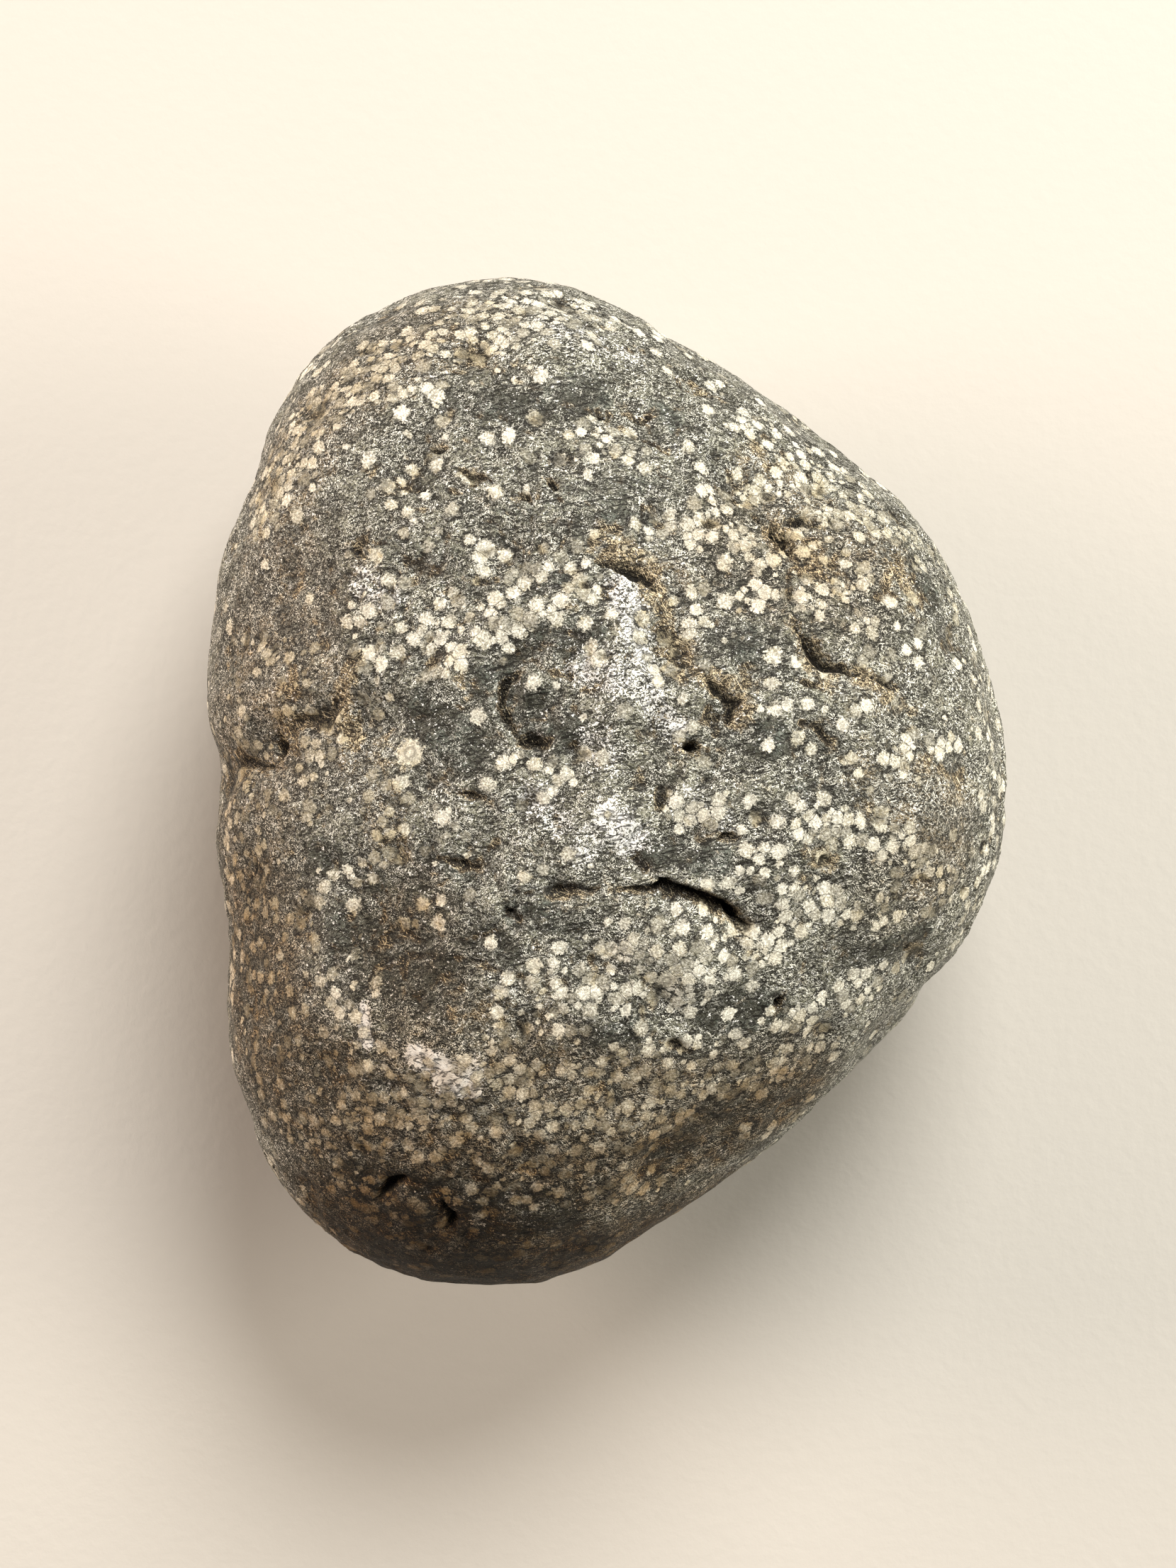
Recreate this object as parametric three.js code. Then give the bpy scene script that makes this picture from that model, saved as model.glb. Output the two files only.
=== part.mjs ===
// A water-worn pebble of snowflake obsidian. Millimetres, +Z up, Y along the pebble, X across it.
// The broad, gently domed face looks up. The pebble rests on a small worn flat on its underside.

import * as THREE from 'three';
import { mergeVertices } from 'three/addons/utils/BufferGeometryUtils.js';

// Rim of the pebble seen from above: its distance from the middle, every 20 degrees, counterclockwise
// from +X. The two short runs near 180 and 320 degrees are the waist on the left and the flat right flank.
const rimRadii = [
  23.5, 23.4, 24.0, 24.1, 26.4, 30.4, 31.2, 28.1, 25.2,
  23.9, 24.0, 28.6, 31.4, 30.0, 25.4, 22.7, 22.1, 23.0,
];
const upperRise = 15.4; // from the widest level to the crown
const lowerDrop = 15.6; // from the widest level to the lowest point, before it is worn flat
const upperFullness = 2.35; // 2 gives an ellipse in section, more gives squarer shoulders
const lowerFullness = 2.2;
const wornDepth = 0.45; // taken off the lowest point to leave the resting flat
const meshDetail = 21; // icosahedron edges are cut into one more piece than this
const crowding = 0.3; // how far the mesh is drawn together towards the upper face

// Broad forms. A form follows a path of points near the surface. Its height falls off smoothly over its
// reach, which is given for the left and the right of someone walking the path on the stone.
const broadForms = [
  { name: 'waist', path: [[-24, 1, -12], [-23.5, 1.2, 0], [-22, 1.4, 9]], reach: [3.8, 5.4], height: -1 },
  { name: 'waistValley', reach: [2.6, 5.4], height: -0.5,
    path: [[-23, 1.2, 6], [-17, 3.2, 12], [-10, 4.4, 15]] },
  { name: 'upperLobeCrest', path: [[-19, 12, 8], [-10, 23, 9]], reach: [6, 6], height: 0.5 },
  { name: 'upperLobeDip', path: [[-17.5, 9.5, 10]], reach: [4.6, 4.6], height: -0.5 },
  { name: 'northCrown', path: [[-6, 24, 10], [0, 24.6, 9]], reach: [4.2, 4.2], height: 0.55 },
  { name: 'northValley', reach: [1.9, 1.9], height: -0.35,
    path: [[-3, 21.5, 11.6], [1, 21.2, 11.6], [3.5, 19.5, 12]] },
  { name: 'bandRidge', reach: [2, 2], height: 0.35,
    path: [[-10, 6, 14.6], [-6.5, 8.6, 14.8], [-2.5, 10.4, 14.9]] },
  { name: 'bowlBasin', path: [[-5, 4.6, 15.2], [-3.4, 3.4, 15.3]], reach: [3.2, 3.2], height: -0.45 },
  { name: 'middleKnob', path: [[0.5, 8.2, 15], [0.3, 3.2, 15.4]], reach: [3.6, 3.4], height: 0.6 },
  { name: 'brownValley', reach: [1.6, 1.5], height: -0.4,
    path: [[3.6, 12, 14.4], [3.4, 9, 14.8], [4.6, 6.5, 15]] },
  { name: 'eastRidge', path: [[9.5, 6.5, 14.3], [9.8, 3.5, 14.3]], reach: [1.8, 1.8], height: 0.25 },
  { name: 'lowerKnob', path: [[0, -2, 15.4]], reach: [3.4, 3.4], height: 0.5 },
  { name: 'lipSwell', path: [[1.5, -9, 14.8], [7, -10.6, 13.5]], reach: [3, 3.4], height: 0.5 },
  { name: 'southWestDip', path: [[-14.5, -5, 12.4], [-9.5, -10, 14]], reach: [5.6, 5.6], height: -0.8 },
  { name: 'southWestSwell', path: [[-9.3, -15.5, 13.5]], reach: [4.4, 4.4], height: 0.6 },
  { name: 'southFlankDip', path: [[2, -22, 9], [8, -18, 9]], reach: [5, 5], height: -0.5 },
  { name: 'eastSwell', path: [[16, 1, 11.5], [17, -5, 10]], reach: [4.5, 4.5], height: 0.45 },
  { name: 'northEastShelf', path: [[6, 19, 11], [15, 11, 11]], reach: [3.6, 4.4], height: -0.45 },
  { name: 'undersideHollow', path: [[11, 9, -13], [14, 3, -12]], reach: [5.5, 5.5], height: -0.9 },
  { name: 'undersideRidge', path: [[-9, 15, -12], [-15, 4, -12]], reach: [5, 5], height: 0.7 },
  { name: 'undersideDip', path: [[-10, -17, -11], [-3, -21, -10]], reach: [5, 6], height: -0.8 },
  { name: 'eastRimDip', path: [[24, 3, -3], [23, -5, -2]], reach: [4.5, 4.5], height: -0.5 },
];

// Ledges, grooves and pits, smaller and sharper than the broad forms.
const sharpForms = [
  { name: 'waistCrack', path: [[-22.4, 1.4, 7.5], [-20.2, 1.2, 9.9]], reach: [0.9, 1], height: -0.5 },
  { name: 'waistPit', reach: [1, 1], height: -0.7,
    path: [[-20.5, 1.6, 10.4], [-20.1, 2.4, 10.6], [-20, 3.1, 10.6]] },
  { name: 'waistLedge', reach: [0.9, 1.8], height: -0.4,
    path: [[-18.9, 3.5, 11], [-17.2, 4.2, 12], [-15.5, 4.9, 12.8]] },
  { name: 'ochreRidge', reach: [1.1, 1.1], height: 0.25,
    path: [[-14.2, 7, 13.2], [-15.5, 3.4, 12.6], [-15.3, 0.8, 12.7]] },
  { name: 'lipGroove', reach: [0.95, 1.6], height: -0.9,
    path: [[0.2, -6, 15.3], [1.6, -5.75, 15.3], [2.8, -5.65, 15.2], [4.2, -5.9, 15], [5.6, -6.4, 14.7],
      [6.7, -7.1, 14.4], [7.9, -8.2, 14]] },
  { name: 'lipEnd', path: [[6.6, -7.1, 14.3], [8, -8.2, 14]], reach: [0.9, 1], height: -0.5 },
  { name: 'lipBranch', reach: [0.9, 0.9], height: -0.25,
    path: [[0.9, -3.5, 15.3], [1.7, -4.1, 15.3], [2.7, -5.1, 15.3]] },
  { name: 'lipShade', reach: [0.9, 1.1], height: -0.25,
    path: [[-5.4, -5.8, 15.3], [-3, -6.1, 15.3], [-0.5, -6, 15.3]] },
  { name: 'middleCrease', reach: [0.9, 1], height: -0.3,
    path: [[4.4, 1.4, 15.3], [3, -0.2, 15.3], [2.2, -1.8, 15.3], [0.9, -3.4, 15.3]] },
  { name: 'bowl', reach: [2.4, 0.9], height: -0.6,
    path: [[-5.6, 6.4, 15.2], [-6.4, 5.4, 15.2], [-6.4, 4.5, 15.2], [-5.9, 3.6, 15.2], [-5.1, 2.8, 15.2]] },
  { name: 'bowlEdge', reach: [0.9, 0.9], height: -0.25,
    path: [[-4.6, 7.3, 15.1], [-3.4, 6.5, 15.2], [-2, 6.2, 15.3]] },
  { name: 'bowlPit', reach: [1.2, 0.9], height: -0.7,
    path: [[-5.1, 2.6, 15.3], [-4.3, 2.3, 15.3], [-3.5, 2.7, 15.3]] },
  { name: 'brownHollow', path: [[5.6, 4.9, 15.1], [6, 3.2, 15.1]], reach: [1.8, 1.5], height: -0.5 },
  { name: 'brownHollowWall', reach: [0.9, 1.1], height: -0.55,
    path: [[5.2, 6.1, 15], [6.3, 5.4, 14.9], [7.3, 4.8, 14.8], [7, 3.5, 15]] },
  { name: 'brownHollowPit', path: [[4.2, 2.1, 15.3], [5.1, 2.1, 15.3]], reach: [0.9, 0.9], height: -0.55 },
  { name: 'slantGroove', reach: [0.9, 1.1], height: -0.85,
    path: [[10.4, 9.2, 13.6], [11.1, 8.4, 13.5], [11.8, 7.6, 13.4], [12.6, 7, 13.2], [13.3, 6.7, 12.9],
      [14.2, 6.4, 12.6]] },
  { name: 'slantTail', reach: [0.9, 0.9], height: -0.5,
    path: [[14.9, 6.2, 12.4], [15.9, 6, 11.9], [16.7, 5.7, 11.4]] },
  { name: 'slantSplit', path: [[10.6, 8, 13.7], [10.9, 7.1, 13.8]], reach: [0.9, 0.9], height: -0.3 },
  { name: 'slantPit', path: [[10.7, 5.9, 13.9], [12.1, 5.8, 13.6]], reach: [0.9, 0.9], height: -0.3 },
  { name: 'eastCrease', reach: [0.9, 0.9], height: -0.2,
    path: [[10.4, 12.6, 12.5], [10.2, 11, 13], [10.5, 9.4, 13.4]] },
  { name: 'northEastHole', reach: [1, 0.95], height: -0.95,
    path: [[9.8, 15.6, 11.9], [10.2, 14.9, 12], [10.6, 14, 12.2]] },
  { name: 'northEastNotch', path: [[8.6, 16.3, 12.1], [9.4, 15.9, 12]], reach: [0.9, 0.9], height: -0.45 },
  { name: 'northEastGouge', reach: [0.9, 0.9], height: -0.35,
    path: [[10.2, 15.9, 11.6], [11.6, 16.3, 10.8], [12.6, 16, 10.6]] },
  { name: 'brownCrease', reach: [0.9, 1.1], height: -0.6,
    path: [[-0.7, 13, 14.5], [0.7, 12.8, 14.5], [1.9, 12.2, 14.5], [2.8, 11.3, 14.5]] },
  { name: 'brownNick', path: [[5.2, 15.1, 13], [6.5, 15.4, 13]], reach: [0.9, 0.9], height: -0.35 },
  { name: 'leftBracket', reach: [0.95, 1], height: -0.7,
    path: [[-13.5, -24.1, 9], [-12.8, -23.2, 9.8], [-11.8, -22.6, 10.5]] },
  { name: 'rightBracket', reach: [0.95, 1], height: -0.7,
    path: [[-9.8, -23.9, 10.1], [-9.2, -24.9, 9.6], [-9.6, -25.9, 8.8]] },
  { name: 'bracketBump', path: [[-11.3, -24.5, 9.6]], reach: [1.7, 1.7], height: 0.4 },
  { name: 'northScoop', path: [[4.7, 23.9, 8]], reach: [1.5, 1.5], height: -0.4 },
  { name: 'northScoopWall', reach: [0.9, 0.8], height: -0.45,
    path: [[3.5, 24.4, 8], [4, 23.3, 8.5], [5, 22.7, 8], [6, 23.1, 7.4]] },
  { name: 'northPit', path: [[-0.8, 21.8, 11.4], [-0.1, 21.2, 11.5]], reach: [0.9, 0.9], height: -0.6 },
  { name: 'northSplit', path: [[0.6, 20.9, 12], [2.8, 20.2, 12]], reach: [0.9, 0.9], height: -0.25 },
  { name: 'northNick', path: [[-3.4, 17.3, 13.4], [-2.7, 16.6, 13.6]], reach: [0.9, 0.9], height: -0.4 },
  { name: 'northWestStreak', reach: [0.9, 0.9], height: -0.3,
    path: [[-10.3, 19.4, 11.9], [-8.9, 18.8, 12.2]] },
  { name: 'northWestSplit', reach: [0.9, 0.9], height: -0.3,
    path: [[-8.4, 17.6, 12.8], [-6.8, 17.2, 13.2]] },
  { name: 'northWestNick', reach: [0.9, 0.9], height: -0.35,
    path: [[-5.2, 16.9, 13.5], [-4.6, 16, 13.6]] },
  { name: 'westSplit', reach: [0.9, 0.9], height: -0.25,
    path: [[-8, 12.1, 14.1], [-7.1, 11.4, 14.4], [-6.3, 11.6, 14.5]] },
  { name: 'westPit', path: [[-13.9, 13, 11.8], [-13.2, 12.3, 12]], reach: [0.9, 0.9], height: -0.35 },
  { name: 'middleNick', path: [[-8.9, -0.2, 15], [-7, -0.6, 15.1]], reach: [0.9, 0.9], height: -0.35 },
  { name: 'southNick', path: [[-9.9, -4.2, 14.6], [-7.5, -4.7, 14.8]], reach: [0.9, 0.9], height: -0.3 },
  { name: 'southSplit', reach: [0.9, 0.9], height: -0.2,
    path: [[-6.3, -6.9, 15], [-5.4, -7.5, 15], [-4.9, -7.9, 15]] },
  { name: 'southStreak', reach: [0.9, 0.9], height: -0.2,
    path: [[-7.7, -9.8, 14.2], [-6, -10.2, 14.3], [-4.5, -10.5, 14.4]] },
  { name: 'southPit', path: [[3.1, -14.5, 13.4], [4.5, -15.3, 13]], reach: [0.9, 0.9], height: -0.3 },
  { name: 'eastNick', path: [[6, -3, 15], [7.2, -3, 15]], reach: [0.9, 0.9], height: -0.3 },
  { name: 'eastPit', path: [[11.9, -4.1, 13.7], [12.6, -4.4, 13.5]], reach: [0.9, 0.9], height: -0.35 },
  { name: 'eastArc', reach: [0.9, 1.1], height: -0.3,
    path: [[10.9, 3.6, 14.2], [12, 3.4, 13.9], [12.7, 2.4, 13.8]] },
  { name: 'eastLowPit', path: [[10.3, -13.2, 13.2], [10.6, -13.7, 13]], reach: [0.9, 0.9], height: -0.35 },
  { name: 'eastRimPit', path: [[19.1, -5.5, 7], [19.5, -5.9, 7]], reach: [0.9, 0.9], height: -0.4 },
  { name: 'westRimCrack', reach: [0.9, 1.5], height: -0.6,
    path: [[-24, -9, 2], [-25, -14, 0], [-24, -18, -3]] },
  { name: 'eastRimGroove', reach: [1.5, 0.9], height: -0.5,
    path: [[22, 9, 2], [23.5, 3, 3], [22.5, -2, 5]] },
  { name: 'southRimBite', path: [[2, -28, -3], [7, -25, -4]], reach: [1.2, 2], height: -0.8 },
  { name: 'northRimBite', path: [[-13, 26, -3], [-6, 29, -4]], reach: [1, 1.8], height: -0.6 },
  { name: 'undersideCrease', reach: [0.9, 1.7], height: -0.8,
    path: [[-4, 16, -13], [3, 18, -12], [8, 16, -11]] },
  { name: 'undersideGroove', reach: [1.7, 0.9], height: -0.8,
    path: [[15, -3, -11], [13, -9, -11], [8, -13, -11]] },
  { name: 'undersidePit', path: [[-14, -4, -12], [-13, -6, -12]], reach: [1.5, 1.5], height: -0.9 },
];
const tipShare = 0.45; // share of its height that a form still has at the ends of its path

// Shell-shaped chips: a ball is pressed into the surface and leaves a shallow scar with a crisp edge.
const chips = [
  { name: 'waistFacet', at: [-18.4, 1.6, 11], radius: 5, depth: 0.45 },
  { name: 'northWestScar', at: [-22, 15, 2], radius: 9, depth: 0.6 },
  { name: 'eastScar', at: [19, -12, 3], radius: 8, depth: 0.55 },
  { name: 'southScar', at: [-14, -25, -4], radius: 7, depth: 0.6 },
  { name: 'northEastScar', at: [13, 17, -5], radius: 9, depth: 0.7 },
  { name: 'undersideScar', at: [-12, 9, -13], radius: 7, depth: 0.6 },
];

// Shallow worn dents all over the stone, laid out on a sunflower spiral.
const dents = { count: 190, smallest: 1.3, largest: 2.8, depth: 0.22 };

const glassColour = 0x4a4f4e;
const glassRoughness = 0.62;
const glassMetalness = 0;

// Distance from the middle to the rim: a closed smooth curve through rimRadii.
function rimRadius(longitude) {
  const stepAngle = (2 * Math.PI) / rimRadii.length;
  const place = THREE.MathUtils.euclideanModulo(longitude / stepAngle, rimRadii.length);
  const index = Math.floor(place);
  const t = place - index;
  const [before, from, to, after] = [-1, 0, 1, 2].map((k) => rimRadii.at((index + k) % rimRadii.length));
  const slope = (to - before) / 2;
  const slopeAfter = (after - from) / 2;
  const bend = 3 * (to - from) - 2 * slope - slopeAfter;
  const twist = 2 * (from - to) + slope + slopeAfter;
  return from + slope * t + bend * t ** 2 + twist * t ** 3;
}

// Smooth body: (across / rim)^n + (|up| / rise)^n = 1, with its own rise and fullness above and below.
function onBody(direction) {
  const rise = direction.z > 0 ? upperRise : lowerDrop;
  const fullness = direction.z > 0 ? upperFullness : lowerFullness;
  const across = Math.hypot(direction.x, direction.y) / rimRadius(Math.atan2(direction.y, direction.x));
  const up = Math.abs(direction.z) / rise;
  return direction.clone().multiplyScalar((across ** fullness + up ** fullness) ** (-1 / fullness));
}

function snapToBody([x, y, z]) {
  return onBody(new THREE.Vector3(x, y, z).normalize());
}

// Nearest place on a path to a point: how far it is, how far to the left, from -1 to 1, and how far
// along the path, from 0 to 1.
function nearestOnPath(path, point) {
  const runs = path.slice(1).map((end, k) => end.clone().sub(path[k]));
  if (runs.length === 0) return { distance: point.distanceTo(path[0]), leftward: 0, along: 0.5 };
  const total = runs.reduce((sum, run) => sum + run.length(), 0);
  let nearest = { distance: Infinity, leftward: 0, along: 0 };
  let walked = 0;
  runs.forEach((run, k) => {
    const offset = point.clone().sub(path[k]);
    const share = THREE.MathUtils.clamp(offset.dot(run) / run.lengthSq(), 0, 1);
    offset.addScaledVector(run, -share);
    const distance = offset.length();
    if (distance < nearest.distance) {
      const left = point.clone().cross(run).normalize();
      const leftward = distance > 0 ? offset.dot(left) / distance : 0;
      nearest = { distance, leftward, along: (walked + share * run.length()) / total };
    }
    walked += run.length();
  });
  return nearest;
}

// Height of one form at a point: height * (1 - q^2)^2, where q is the distance over the reach. It sinks
// to the tip share at both ends of the path.
function formHeight(form, point) {
  const { distance, leftward, along } = nearestOnPath(form.path, point);
  const reach = THREE.MathUtils.lerp(form.reach[1], form.reach[0], (leftward + 1) / 2);
  const fullness = THREE.MathUtils.lerp(tipShare, 1, Math.sin(Math.PI * along));
  const q = Math.min(distance / reach, 1);
  return form.height * fullness * (1 - q ** 2) ** 2;
}

// Distance from the middle along a direction at which a chip's ball is entered, or Infinity.
function chipRadius(chip, direction) {
  const along = chip.centre.dot(direction);
  const spare = chip.radius ** 2 - (chip.centre.lengthSq() - along ** 2);
  return along > 0 && spare > 0 ? along - Math.sqrt(spare) : Infinity;
}

function makeDents() {
  const goldenAngle = Math.PI * (3 - Math.sqrt(5));
  return Array.from({ length: dents.count }, (_, k) => {
    const height = 1 - (2 * k + 1) / dents.count;
    const across = Math.sqrt(1 - height ** 2);
    const turn = goldenAngle * k;
    const reach = THREE.MathUtils.lerp(dents.smallest, dents.largest, (Math.sin(turn * 7) + 1) / 2);
    const at = onBody(new THREE.Vector3(across * Math.cos(turn), across * Math.sin(turn), height));
    return { path: [at], reach: [reach, reach], height: -dents.depth * Math.sqrt(reach) };
  });
}

function makeForms() {
  const drawn = [...broadForms, ...sharpForms].map((form) => ({ ...form, path: form.path.map(snapToBody) }));
  return [...drawn, ...makeDents()];
}

function makeChips() {
  return chips.map(({ at, radius, depth }) => {
    const surface = snapToBody(at);
    return { radius, centre: surface.clone().setLength(surface.length() + radius - depth) };
  });
}

// The finished surface along one direction from the middle.
function onPebble(direction, forms, chipBalls) {
  const point = onBody(direction);
  const raised = forms.reduce((sum, form) => sum + formHeight(form, point), point.length());
  const chipped = Math.min(raised, ...chipBalls.map((ball) => chipRadius(ball, direction)));
  const surface = direction.clone().multiplyScalar(chipped);
  const floor = wornDepth - lowerDrop;
  return surface.z < floor ? surface.multiplyScalar(floor / surface.z) : surface;
}

function makePebbleGeometry() {
  const sphere = new THREE.IcosahedronGeometry(upperRise, meshDetail);
  sphere.deleteAttribute('normal');
  sphere.deleteAttribute('uv');
  const geometry = mergeVertices(sphere);
  const forms = makeForms();
  const chipBalls = makeChips();
  const position = geometry.getAttribute('position');
  const direction = new THREE.Vector3();
  for (let k = 0; k < position.count; k += 1) {
    direction.fromBufferAttribute(position, k).normalize();
    direction.z += crowding;
    direction.normalize();
    const surface = onPebble(direction, forms, chipBalls);
    position.setXYZ(k, surface.x, surface.y, surface.z);
  }
  geometry.computeBoundingBox();
  const box = geometry.boundingBox;
  const middle = box.getCenter(new THREE.Vector3());
  geometry.translate(-middle.x, -middle.y, -box.min.z);
  geometry.computeVertexNormals();
  return geometry;
}

const pebble = new THREE.Mesh(
  makePebbleGeometry(),
  new THREE.MeshStandardMaterial({
    color: glassColour,
    roughness: glassRoughness,
    metalness: glassMetalness,
  }),
);
pebble.name = 'obsidian_pebble';

const group = new THREE.Group();
group.add(pebble);

export default group;
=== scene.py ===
import math

import bpy
import numpy as np
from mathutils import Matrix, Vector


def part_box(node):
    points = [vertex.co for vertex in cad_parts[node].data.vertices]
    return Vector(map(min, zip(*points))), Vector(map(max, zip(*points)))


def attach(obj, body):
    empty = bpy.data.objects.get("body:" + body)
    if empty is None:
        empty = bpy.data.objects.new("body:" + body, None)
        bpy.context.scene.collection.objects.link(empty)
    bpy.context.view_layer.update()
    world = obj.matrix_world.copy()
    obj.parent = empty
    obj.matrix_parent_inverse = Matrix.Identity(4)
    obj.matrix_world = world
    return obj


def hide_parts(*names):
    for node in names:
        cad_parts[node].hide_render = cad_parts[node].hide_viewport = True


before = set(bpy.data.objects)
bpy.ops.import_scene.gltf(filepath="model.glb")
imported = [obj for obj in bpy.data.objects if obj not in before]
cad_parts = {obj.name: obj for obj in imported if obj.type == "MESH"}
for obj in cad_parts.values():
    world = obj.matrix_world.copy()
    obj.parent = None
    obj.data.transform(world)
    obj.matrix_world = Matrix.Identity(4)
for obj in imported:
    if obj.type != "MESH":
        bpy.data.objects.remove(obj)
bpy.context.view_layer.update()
cadNode = "obsidian_pebble"
mm = 0.001
print("frame loaded")

cameraPlan = {
    "distance": 265.0,  # mm above the pebble's widest level
    "widestLevel": 15.2,  # mm above the floor
    "seenHeight": 93.3,  # mm that the picture takes in from top to bottom at that level
    "centre": (-1.05, -0.1),  # mm from the pebble's middle
    "sensor": 36.0,
    "clip": (0.01, 10.0),  # m
}


# lens = sensor * distance / seen height, looking straight down with +Y up the picture
def makeCamera(plan):
    data = bpy.data.cameras.new("camera")
    data.sensor_width = plan["sensor"]
    data.lens = plan["sensor"] * plan["distance"] / plan["seenHeight"]
    data.clip_start, data.clip_end = plan["clip"]
    camera = bpy.data.objects.new("camera", data)
    x, y = plan["centre"]
    camera.location = (x * mm, y * mm, (plan["widestLevel"] + plan["distance"]) * mm)
    bpy.context.scene.collection.objects.link(camera)
    bpy.context.scene.camera = camera


makeCamera(cameraPlan)
print("camera made")


# the pebble's shape, in millimetres from its middle
bodyShape = {
    # distance from the middle to the rim, every 20 degrees from +X, counterclockwise
    "rimRadii": [23.5, 23.4, 24.0, 24.1, 26.4, 30.4, 31.2, 28.1, 25.2,
                 23.9, 24.0, 28.6, 31.4, 30.0, 25.4, 22.7, 22.1, 23.0],
    "upperRise": 15.4,
    "lowerDrop": 15.6,
    "upperFullness": 2.35,  # 2 is an ellipse in section, more is squarer
    "lowerFullness": 2.2,
    "wornDepth": 0.45,  # taken off the lowest point
    "gridSteps": 128,  # faces along each edge of the cube that the grid starts from
    "gridSpread": (1.25, 1.45, 1.0),  # evens the grid out over the flattened body
    "crowding": 0.22,  # draws the grid together towards the upper face
    "tipShare": 0.45,  # how wide and deep a form still is at the ends of its path
    "wander": [(1.7, 0.2, 51), (0.6, 0.15, 54)],  # size, push, seed
    "sharpness": 1.25,  # depth of the sharp forms beside the heights given for them
    "unevenness": (0.35, 0.9, 57),  # how far that depth varies, over how many mm, seed
    "creviceFrom": -0.28,  # sharp forms deeper than this hold a crevice, drawn dark as grime and painted shade
    "creviceWidth": 0.3,  # mm of half width for each mm of depth
    "creviceFar": 2.0,  # mm, the most that the distance to a crevice counts
}

# each form follows a path, and its height falls off over its reach to the left and to the right:
# reach to the left, reach to the right, height, then x, y and z along the path
broadForms = {
    "waist": (3.8, 5.4, -1, -24, 1, -12, -23.5, 1.2, 0, -22, 1.4, 9),
    "waistValley": (2.6, 5.4, -0.5, -23, 1.2, 6, -17, 3.2, 12, -10, 4.4, 15),
    "upperLobeCrest": (6, 6, 0.5, -19, 12, 8, -10, 23, 9),
    "upperLobeDip": (4.6, 4.6, -0.5, -17.5, 9.5, 10),
    "northCrown": (4.2, 4.2, 0.55, -6, 24, 10, 0, 24.6, 9),
    "middleKnob": (3.6, 3.4, 0.6, 0.5, 8.2, 15, 0.3, 3.2, 15.4),
    "lowerKnob": (3.4, 3.4, 0.5, 0, -2, 15.4),
    "lipSwell": (3, 3.4, 0.5, 1.5, -9, 14.8, 7, -10.6, 13.5),
    "southWestDip": (5.6, 5.6, -0.8, -14.5, -5, 12.4, -9.5, -10, 14),
    "southWestSwell": (4.4, 4.4, 0.6, -9.3, -15.5, 13.5),
    "southFlankDip": (5, 5, -0.5, 2, -22, 9, 8, -18, 9),
    "eastSwell": (4.5, 4.5, 0.45, 16, 1, 11.5, 17, -5, 10),
    "northEastShelf": (3.6, 4.4, -0.45, 6, 19, 11, 15, 11, 11),
    "undersideHollow": (5.5, 5.5, -0.9, 11, 9, -13, 14, 3, -12),
    "undersideRidge": (5, 5, 0.7, -9, 15, -12, -15, 4, -12),
    "undersideDip": (5, 6, -0.8, -10, -17, -11, -3, -21, -10),
    "eastRimDip": (4.5, 4.5, -0.5, 24, 3, -3, 23, -5, -2),
    "bandRidge": (2, 2, 0.35, -10, 6, 14.6, -6.5, 8.6, 14.8, -2.5, 10.4, 14.9),
    "bowlBasin": (3.2, 3.2, -0.45, -5, 4.6, 15.2, -3.4, 3.4, 15.3),
    "brownValley": (1.6, 1.5, -0.4, 3.6, 12, 14.4, 3.4, 9, 14.8, 4.6, 6.5, 15),
    "eastRidge": (1.8, 1.8, 0.25, 9.5, 6.5, 14.3, 9.8, 3.5, 14.3),
    "northValley": (1.9, 1.9, -0.35, -3, 21.5, 11.6, 1, 21.2, 11.6, 3.5, 19.5, 12),
}

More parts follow.
